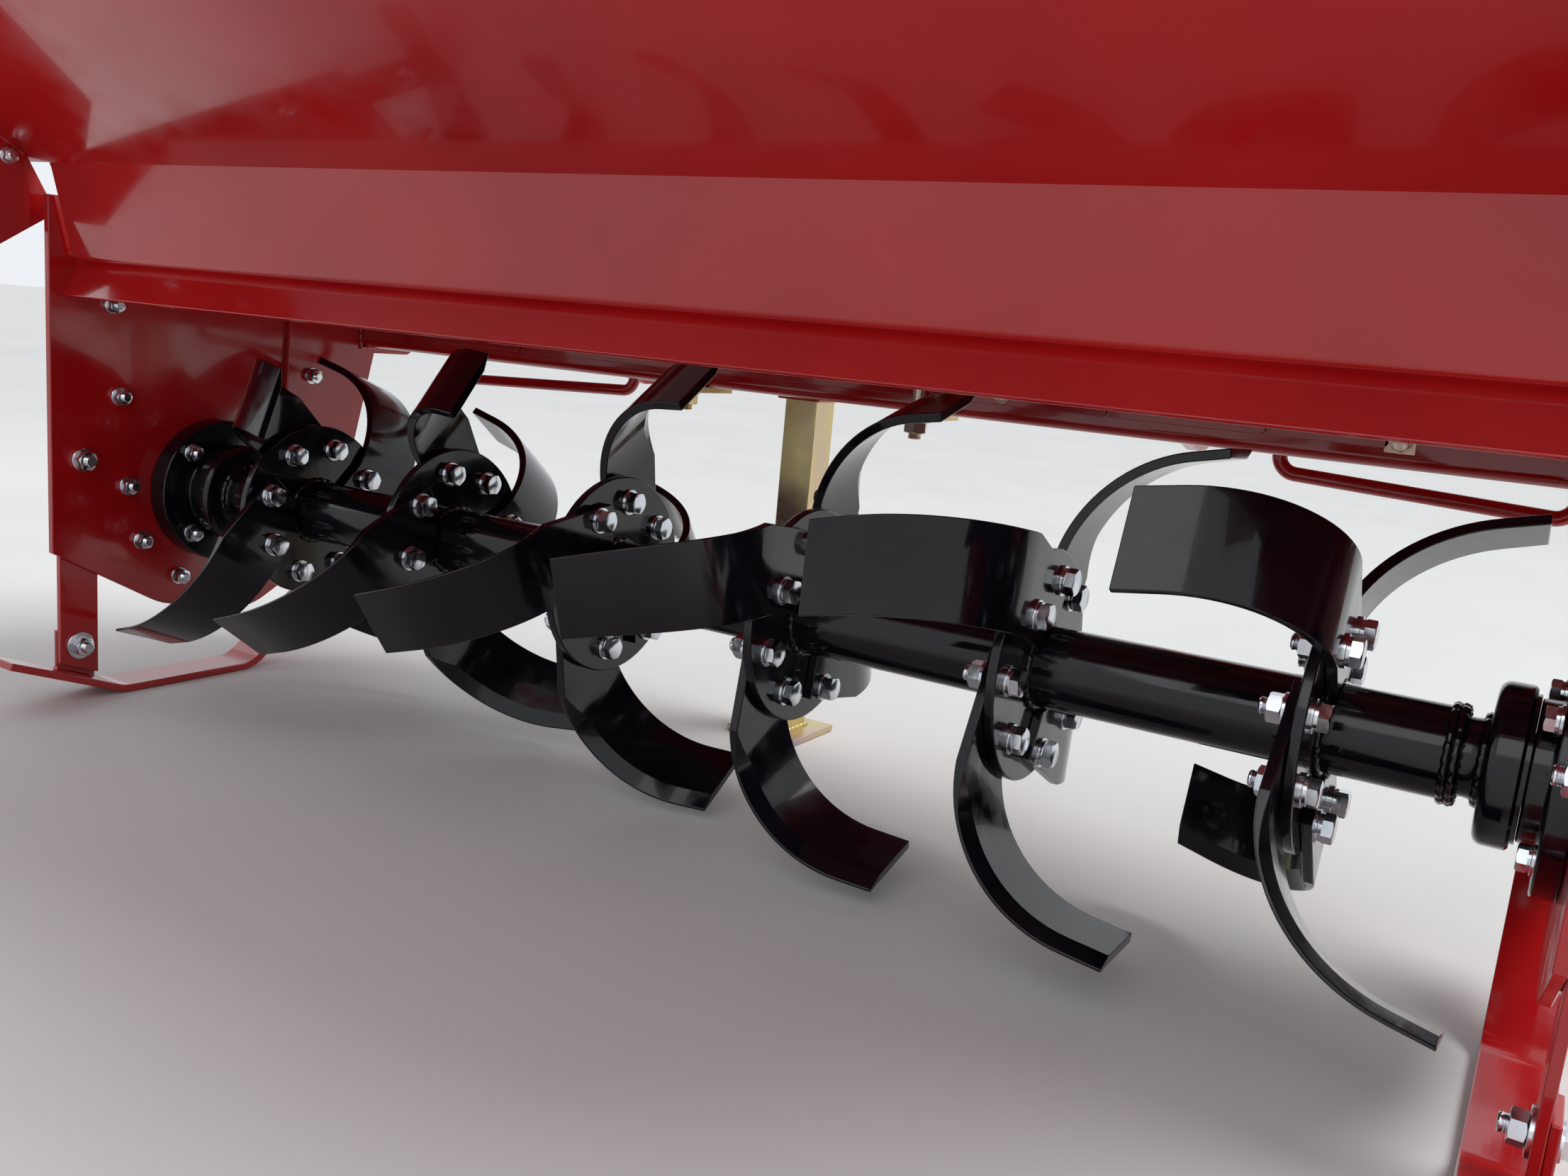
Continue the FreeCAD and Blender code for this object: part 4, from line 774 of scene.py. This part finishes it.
edge = [Vector((x, 0, z)) for x, z in shield_line(SHIELD_WALL)]
hole = [point.normalized() * BACK_PLATE_HOLE for point in edge]
back, front = [Vector((0, y, PTO_RISE)) for y in (FRONT_FACE, FRONT_FACE + BACK_PLATE_WALL)]
back_plate = Piece()
back_plate.skin([[at + point for point in line]
                 for at, line in ((back, edge), (front, edge), (front, hole), (back, hole))], loop=True)
back_plate.make("shield_back", plastic, "frame", "black_plastic")

# Link pins with their lynch pins, and the bolt through the stays' feet: places (forward, up).
TOP_PIN, TOP_PIN_RADIUS, TOP_PIN_END, TOP_PIN_EDGE = (252, 650), 9.5, 56, 2
LINK_PIN, LINK_PIN_RADIUS, LINK_PIN_LENGTH, LINK_PIN_EDGE = (350, 190), 11, 60, 2.5
LINK_HALF, LINK_PLATE, MAST_OUT = 341.5, 14, 44
STAY_BOLT, STAY_OUT = (-50, 517), 54
LYNCH_UP, LYNCH_RADIUS = Vector((0, 0.5, 0.866)), 3.2
LYNCH_HEAD = ((0, -1), (5, -1), (6, 0), (6, 6), (5, 7), (0, 7))
RING_WIRE, RING_LEAN, RING_UP, RING_OVER, RING_POINTS = 1.9, 0.35, 3, 2, 36


def pin_rows(radius, length, edge):
    """Rows of (radius, height) for a pin with both ends chamfered."""
    return ((0, 0), (radius - edge, 0), (radius, edge), (radius, length - edge), (radius - edge, length),
            (0, length))


def stop_rows(inner, outer, start, width):
    """Rows of (radius, height) for a ring on a pin, its outer edges chamfered."""
    return ((inner, start), (outer - 1, start), (outer, start + 1), (outer, start + width - 1),
            (outer - 1, start + width), (inner, start + width))


def lynch(piece, at, axis, reach):
    """A pin across a link pin's end, and the spring ring that keeps it there."""
    at = Vector(at)
    piece.sweep([at - LYNCH_UP * reach, at + LYNCH_UP * reach], LYNCH_RADIUS, 12)
    piece.lathe(at + LYNCH_UP * reach, LYNCH_UP, LYNCH_HEAD, sides=16)
    lean = (Vector(axis) + LYNCH_UP * RING_LEAN).normalized()
    ring = round_places(at + LYNCH_UP * RING_UP, lean, reach + RING_OVER, RING_POINTS)
    piece.sweep(ring, RING_WIRE, 8, loop=True)


mast_pin = Piece()
mast_pin.lathe((-TOP_PIN_END, *TOP_PIN), RIGHT,
               pin_rows(TOP_PIN_RADIUS, 2 * TOP_PIN_END, TOP_PIN_EDGE), sides=32)
mast_pin.lathe((-TOP_PIN_END, *TOP_PIN), RIGHT, stop_rows(TOP_PIN_RADIUS - 1, 17, 1, 7), sides=32, loop=True)
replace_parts(mast_pin.make("mast_pin", gold, "frame", "yellow_zinc"), "top_link_pin")

clips = Piece()
lynch(clips, (TOP_PIN_END - 6, *TOP_PIN), RIGHT, 15)
for side, sign in (("left", -1), ("right", 1)):
    outward, inward = (sign, 0, 0), (-sign, 0, 0)
    pin = Piece()
    pin.lathe((sign * LINK_HALF, *LINK_PIN), outward, (
        (0, 0), (LINK_PIN_RADIUS, 0), (LINK_PIN_RADIUS, LINK_PIN_LENGTH - LINK_PIN_EDGE),
        (LINK_PIN_RADIUS - LINK_PIN_EDGE, LINK_PIN_LENGTH), (0, LINK_PIN_LENGTH)), sides=32)
    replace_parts(pin.make("lower_pin_" + side, gold, "frame", "yellow_zinc"), "link_pin_" + side)
    lynch(clips, (sign * (LINK_HALF + LINK_PIN_LENGTH - 10), *LINK_PIN), outward, 17)
    clips.nut((sign * (LINK_HALF - LINK_PLATE), *LINK_PIN), inward, M20, turn=11)
clips.head((-STAY_OUT, *STAY_BOLT), LEFT, M14, turn=9)
clips.nut((STAY_OUT, *STAY_BOLT), RIGHT, M14, turn=21)
clips.make("pin_clips", zinc, "frame", "bright_steel")

# Parking leg: its locking pin through the sleeve, with a ring to pull it by.
LEG_X, LEG_Y, LEG_HALF = -87, 316.5, 20
SLEEVE_HALF = 26.5
LEG_PIN_UP, LEG_PIN_RADIUS, LEG_PIN_OUT, LEG_PIN_EDGE = 230, 6, 12, 2
LEG_STOP_OUT, LEG_STOP_RADIUS, LEG_STOP_WIDTH = 7, 11, 6
leg_pin_length = 2 * (SLEEVE_HALF + LEG_PIN_OUT)

leg_pin = Piece()
leg_pin.lathe((LEG_X - SLEEVE_HALF - LEG_PIN_OUT, LEG_Y, LEG_PIN_UP), RIGHT,
              pin_rows(LEG_PIN_RADIUS, leg_pin_length, LEG_PIN_EDGE), sides=20)
leg_pin.lathe((LEG_X - SLEEVE_HALF - LEG_STOP_OUT, LEG_Y, LEG_PIN_UP), RIGHT, (
    (5, 0), (10, 0), (LEG_STOP_RADIUS, 1), (LEG_STOP_RADIUS, LEG_STOP_WIDTH), (5, LEG_STOP_WIDTH)),
    sides=24, loop=True)
lynch(leg_pin, (LEG_X + SLEEVE_HALF + 6, LEG_Y, LEG_PIN_UP), RIGHT, 13)
leg_pin.make("leg_locking_pin", zinc, "frame", "bright_steel")

# Toolbar, as the photograph shows it from behind: the hood's lapped edge on its rear face.
LAP_LOW, LAP_HIGH, LAP_WALL, LAP_CORNER = 187, 222, 3, 3
LAP_ENDS, LAP_SLITS, SLIT_WIDTH = (-560, 521), (-420, -150, 286, 425), 3

lap = Piece()
starts = [LAP_ENDS[0]] + [x + SLIT_WIDTH / 2 for x in LAP_SLITS]
ends = [x - SLIT_WIDTH / 2 for x in LAP_SLITS] + [LAP_ENDS[1]]
for start, end in zip(starts, ends):
    outline = ((start, LAP_LOW), (end - LAP_CORNER, LAP_LOW), (end, LAP_LOW + LAP_CORNER),
               (end, LAP_HIGH), (start, LAP_HIGH))
    lap.slab([(x, BEAM_BACK, z) for x, z in outline], (0, -LAP_WALL, 0))
lap.make("hood_lap", red, "frame", "red_paint", bevel=0.6)

# Two clamp bolts round the toolbar, each with a lug below; a nut and a bolted tab on the rear face.
CLAMPS, CLAMP_RADIUS, CLAMP_TOP = (-172, 101), 6.5, 240
CLAMP_ACROSS, CLAMP_HEAD = 20, 8
LUG_HALF, LUG_WALL, LUG_BACK, LUG_REACH = 17, 6, 14, 60
REAR_NUT = (184, 197)
TAB_BOLT, TAB_WALL, TAB_ENDS, TAB_LOW, TAB_HIGH = (530, 192), 3, (518, 541), 184, 200

clamps = Piece()
rear, foot = BEAM_BACK - LAP_WALL - CLAMP_RADIUS, BEAM_LOW - LUG_WALL
for x in CLAMPS:
    clamps.sweep([Vector((x, rear, foot - 2)), Vector((x, rear, CLAMP_TOP))], CLAMP_RADIUS, 16)
    clamps.nut((x, rear, foot), DOWN, 2 * CLAMP_RADIUS, turn=x)
    clamps.hex((x, rear, CLAMP_TOP), UP, CLAMP_ACROSS, 0, CLAMP_HEAD)
    clamps.slab([(x - LUG_HALF, rear - LUG_BACK, foot), (x + LUG_HALF, rear - LUG_BACK, foot),
                 (x + LUG_HALF, rear + LUG_REACH, foot), (x - LUG_HALF, rear + LUG_REACH, foot)],
                (0, 0, LUG_WALL))
clamps.nut((REAR_NUT[0], BEAM_BACK - LAP_WALL, REAR_NUT[1]), REAR, M8, turn=12)
clamps.head((TAB_BOLT[0], BEAM_BACK - TAB_WALL, TAB_BOLT[1]), REAR, M8, turn=12)
clamps.slab([(x, BEAM_BACK, z) for x, z in (
    (TAB_ENDS[0], TAB_LOW), (TAB_ENDS[1], TAB_LOW), (TAB_ENDS[1], TAB_HIGH), (TAB_ENDS[0], TAB_HIGH))],
    (0, -TAB_WALL, 0))
clamps.make("toolbar_clamps", gold, "frame", "yellow_zinc")

# Weld beads where the frame's pieces meet, their middles a little off the steel.
OFF = 1
HOOD_INSIDE = ((205, 258), (150, 294.5), (-91, 294.5), (-152, 245))
MAST_NEAR, MAST_FAR, MAST_FRONT, MAST_BACK = 170, 182.7, 282, 222
MAST_HEAD = ((232, 653), (216, 681))
TUBE_END_RADIUS = 38
front_face = [(BEAM_FRONT + OFF, BEAM_LOW + 3), (BEAM_FRONT + OFF, BEAM_TOP - 8)]
beam_end = [(BEAM_BACK - OFF, LAP_HIGH), (BEAM_BACK - OFF, BEAM_LOW - OFF),
            (BEAM_FRONT + OFF, BEAM_LOW - OFF), (BEAM_FRONT + OFF, BEAM_TOP - 6)]
mast_foot = [(MAST_NEAR - OFF, MAST_BACK - OFF), (MAST_FAR + OFF, MAST_BACK - OFF),
             (MAST_FAR + OFF, MAST_FRONT + OFF), (MAST_NEAR - OFF, MAST_FRONT + OFF)]

frame_welds = Piece()
for sign in (-1, 1):
    inside = sign * (PLATE_HALF - OFF)
    frame_welds.bead([(inside, *place) for place in HOOD_INSIDE])
    frame_welds.bead([(inside, *place) for place in beam_end])
    frame_welds.bead([(sign * x, y, BEAM_TOP + OFF) for x, y in mast_foot], 3.4, loop=True)
    for x in (LINK_HALF + OFF, LINK_HALF - LINK_PLATE - OFF):
        frame_welds.bead([(sign * x, *place) for place in front_face], 3.2)
    frame_welds.ring_bead((sign * (LINK_HALF + 0.5), *LINK_PIN), RIGHT, LINK_PIN_RADIUS + OFF, 2.4)
    frame_welds.bead([(LEG_X + sign * (SLEEVE_HALF + OFF), *place) for place in front_face], 3.0)
    frame_welds.bead([(sign * (MAST_OUT + 0.5), *place) for place in MAST_HEAD], 2.8)
for x in (FLANGE_FACE + OFF, -SIDE_FACE - OFF):
    frame_welds.ring_bead((x, 0, PTO_RISE), RIGHT, TUBE_END_RADIUS + OFF, 3.2)
frame_welds.make("frame_welds", red, "frame", "red_paint", sharp=BEAD_SHARP)

# Beads along the feet of the hangers' ears, which lean with the skid.
EAR_HALF, EAR_HOLE_UP = 21, 32
SKID_SLOPES = (-0.368, 0.718)
ear_bead_half = EAR_HALF - 2

skid_welds = Piece()
for sign in (-1, 1):
    x = sign * (PLATE_OUT + HANGER_WALL + EAR_WALL + OFF)
    for (y, z), slope in zip(EAR_BOLTS, SKID_SLOPES):
        foot = z - EAR_HOLE_UP + OFF
        skid_welds.bead([(x, y + out, foot + slope * out) for out in (-ear_bead_half, ear_bead_half)], 2.8)
skid_welds.make("skid_welds", red, "frame", "red_paint", sharp=BEAD_SHARP)

# A bead round the leg where it stands on its foot plate.
LEG_BEAD_UP = 9
leg_welds = Piece()
leg_welds.bead([(LEG_X + i * (LEG_HALF + OFF), LEG_Y + j * (LEG_HALF + OFF), -FLOOR_DROP + LEG_BEAD_UP)
                for i, j in ((-1, -1), (1, -1), (1, 1), (-1, 1))], 2.8, loop=True)
leg_welds.make("leg_welds", gold, "parking_leg", "yellow_zinc", sharp=BEAD_SHARP)

# Tailboard: wing bolts (along, under) and the beads along the wings.
WING_IN, WING_WALL = 712, 3
WING_BOLTS = ((24, 12), (110, 12), (196, 12))
WING_BEAD_ENDS, WING_BEAD_UNDER = (12, 244), 0.8


def on_panel(x, along, under):
    """A place in the main panel's own frame, counted from the bend and down from its underside."""
    bend_y = -HINGE_BACK - HINGE_ROLL * sin(LEAF_ANGLE) + LEAF_LENGTH * cos(LEAF_ANGLE)
    bend_z = HINGE_UP + HINGE_ROLL * cos(LEAF_ANGLE) + LEAF_LENGTH * sin(LEAF_ANGLE)
    return Vector((x, bend_y + along * cos(PANEL_ANGLE) - under * sin(PANEL_ANGLE),
                   bend_z + along * sin(PANEL_ANGLE) + under * cos(PANEL_ANGLE)))


wing_bolts = Piece()
wing_welds = Piece()
for sign in (-1, 1):
    for n, (along, under) in enumerate(WING_BOLTS):
        wing_bolts.head(on_panel(sign * (WING_IN + WING_WALL), along, under), (sign, 0, 0), M8, turn=27 * n)
        wing_bolts.nut(on_panel(sign * WING_IN, along, under), (-sign, 0, 0), M8, turn=14 * n, out=0.2)
    wing_welds.bead([on_panel(sign * (WING_IN - 0.5), along, WING_BEAD_UNDER)
                     for along in WING_BEAD_ENDS], 2.0)
wing_bolts.make("tailboard_bolts", zinc, "tailboard", "bright_steel")
wing_welds.make("tailboard_welds", red, "tailboard", "red_paint", sharp=BEAD_SHARP)

# The bend between leaf and main panel: sheet round the notch that the two solids leave on top.
LEAF_HALF, SHEET_WALL, FOLD_REACH, FOLD_PROUD = 686, 4, 3, 0.12


def step(turn, length):
    """A step to the front and up, at an angle from straight ahead."""
    return Vector((0, length * cos(turn), length * sin(turn)))


bend = on_panel(-LEAF_HALF, 0, 0)
before, after = bend - step(LEAF_ANGLE, FOLD_REACH), bend + step(PANEL_ANGLE, FOLD_REACH)
outside = SHEET_WALL + FOLD_PROUD
fold = Piece()
fold.slab([before + step(LEAF_ANGLE - 90, outside)]
          + [bend + step(turn - 90, outside) for turn in spread(LEAF_ANGLE, PANEL_ANGLE, 7)]
          + [after + step(PANEL_ANGLE - 90, outside), after - step(PANEL_ANGLE - 90, FOLD_PROUD),
             bend - step((LEAF_ANGLE + PANEL_ANGLE) / 2 - 90, FOLD_PROUD),
             before - step(LEAF_ANGLE - 90, FOLD_PROUD)], (2 * LEAF_HALF, 0, 0))
fold.make("tailboard_fold", red, "tailboard", "red_paint")

# The hinge rod's ends, riveted over a washer outside each plate: rows of (radius, height).
ROD_WASHER, ROD_WASHER_WALL = 10, 2
RIVET = ((0, 1), (4, 1), (4, 3), (6, 3), (6.2, 3.6), (5.4, 5), (3.6, 6), (0, 6.4))

rod_ends = Piece()
for sign in (-1, 1):
    at, outward = (sign * PLATE_OUT, -HINGE_BACK, HINGE_UP), (sign, 0, 0)
    rod_ends.washer(at, outward, ROD_WASHER, ROD_WASHER_WALL)
    rod_ends.lathe(at, outward, RIVET, sides=24)
rod_ends.make("hinge_rod_ends", zinc, "frame", "bright_steel")

# Grease nipple on the right bearing cap.
NIPPLE_PLACE, CAP_FACE = (20, 24), 722
NIPPLE_ACROSS, NIPPLE_HEX = 9, 5
NIPPLE = ((0, 0), (2.6, 0), (2.4, 4), (1.9, 5), (2.9, 7), (2.9, 8.5), (1.6, 10), (0, 10))

nipple = Piece()
nipple.hex((CAP_FACE, *NIPPLE_PLACE), RIGHT, NIPPLE_ACROSS, 0, NIPPLE_HEX)
nipple.lathe((CAP_FACE + NIPPLE_HEX, *NIPPLE_PLACE), RIGHT, NIPPLE, sides=16)
nipple.make("grease_nipple", gold, "frame", "yellow_zinc")

# Camera: the photograph's own place and angle, solved from the rotor's flanges, in metres.
CAMERA_PLACE = Vector((0.6652, -1.1791, -0.1662))
CAMERA_RIGHT = Vector((0.8474, 0.5235, 0.0892))
CAMERA_DOWN = Vector((0.1732, -0.1136, -0.9785))
FOCAL_LENGTH, SENSOR_WIDTH = 30.46, 36

camera = bpy.data.objects.new("camera", bpy.data.cameras.new("camera"))
scene.collection.objects.link(camera)
up = -CAMERA_DOWN.normalized()
right = (CAMERA_RIGHT - up * CAMERA_RIGHT.dot(up)).normalized()
axes = Matrix((right, up, right.cross(up))).transposed().to_4x4()
camera.matrix_world = Matrix.Translation(CAMERA_PLACE) @ axes
camera.data.lens = FOCAL_LENGTH
camera.data.sensor_width = SENSOR_WIDTH
camera.data.sensor_fit = "HORIZONTAL"
camera.data.clip_start = 0.01
scene.camera = camera

# Floor, in metres, just under the skids and the leg.
FLOOR_HALF, FLOOR_GAP = 30, 0.0005
floor_height = spot(0, 0, -FLOOR_DROP).z - FLOOR_GAP
floor_mesh = bpy.data.meshes.new("floor")
floor_mesh.from_pydata([(x * FLOOR_HALF, y * FLOOR_HALF, floor_height)
                        for x, y in ((-1, -1), (1, -1), (1, 1), (-1, 1))], [], [(0, 1, 2, 3)])
floor = bpy.data.objects.new("floor", floor_mesh)
scene.collection.objects.link(floor)
pale = material("pale_floor", (0.72, 0.72, 0.71), 0.7)
vary(pale, "Base Color", 2, 3, ((0.3, (0.70, 0.70, 0.69)), (0.7, (0.74, 0.74, 0.73))))
floor_mesh.materials.append(pale)

# Light: three soft boxes (metres, watts) and a broad, even light, which keeps the floor pale out to its edge.
WARM, WHITE, COOL = (1.0, 0.97, 0.92), (1, 1, 1), (0.93, 0.96, 1.0)
LIGHT_AIM = Vector((0, -0.2, -0.3))
EVEN_POWER, EVEN_SPREAD, EVEN_WAY = 1.8, 35, Vector((-0.55, -0.25, -1.0))


def softbox(name, place, width, height, power, colour):
    """A soft box at a place, aimed at the machine."""
    lamp = bpy.data.lights.new(name, "AREA")
    lamp.shape = "RECTANGLE"
    lamp.size = width
    lamp.size_y = height
    lamp.energy = power
    lamp.color = colour
    box = bpy.data.objects.new(name, lamp)
    box.location = place
    box.rotation_euler = (LIGHT_AIM - Vector(place)).to_track_quat("-Z", "Y").to_euler()
    scene.collection.objects.link(box)


softbox("key", (2.6, 1.6, 2.6), 1.6, 1.6, 22, WARM)
softbox("fill", (-3.0, -1.2, 1.6), 2.4, 2.0, 14, COOL)
softbox("back", (0.6, -3.2, 1.9), 2.4, 1.6, 14, WHITE)

even = bpy.data.objects.new("even", bpy.data.lights.new("even", "SUN"))
even.data.energy = EVEN_POWER
even.data.angle = math.radians(EVEN_SPREAD)
even.rotation_euler = EVEN_WAY.to_track_quat("-Z", "Y").to_euler()
scene.collection.objects.link(even)

# The world is brighter for what the camera sees, straight, mirrored or through glass.
SEEN_STRENGTH, LIT_STRENGTH = 0.92, 0.5
world = bpy.data.worlds.new("studio")
scene.world = world
world.use_nodes = True
tree = world.node_tree
background = tree.nodes["Background"]
path = tree.nodes.new("ShaderNodeLightPath")
last = path.outputs["Is Camera Ray"]
for kind in ("Is Glossy Ray", "Is Transmission Ray"):
    either = tree.nodes.new("ShaderNodeMath")
    either.operation = "MAXIMUM"
    tree.links.new(last, either.inputs[0])
    tree.links.new(path.outputs[kind], either.inputs[1])
    last = either.outputs["Value"]
strength = tree.nodes.new("ShaderNodeMapRange")
strength.inputs["To Min"].default_value = LIT_STRENGTH
strength.inputs["To Max"].default_value = SEEN_STRENGTH
tree.links.new(last, strength.inputs["Value"])
tree.links.new(strength.outputs["Result"], background.inputs["Strength"])
background.inputs["Color"].default_value = (*COOL, 1)

scene.view_settings.view_transform = "Standard"
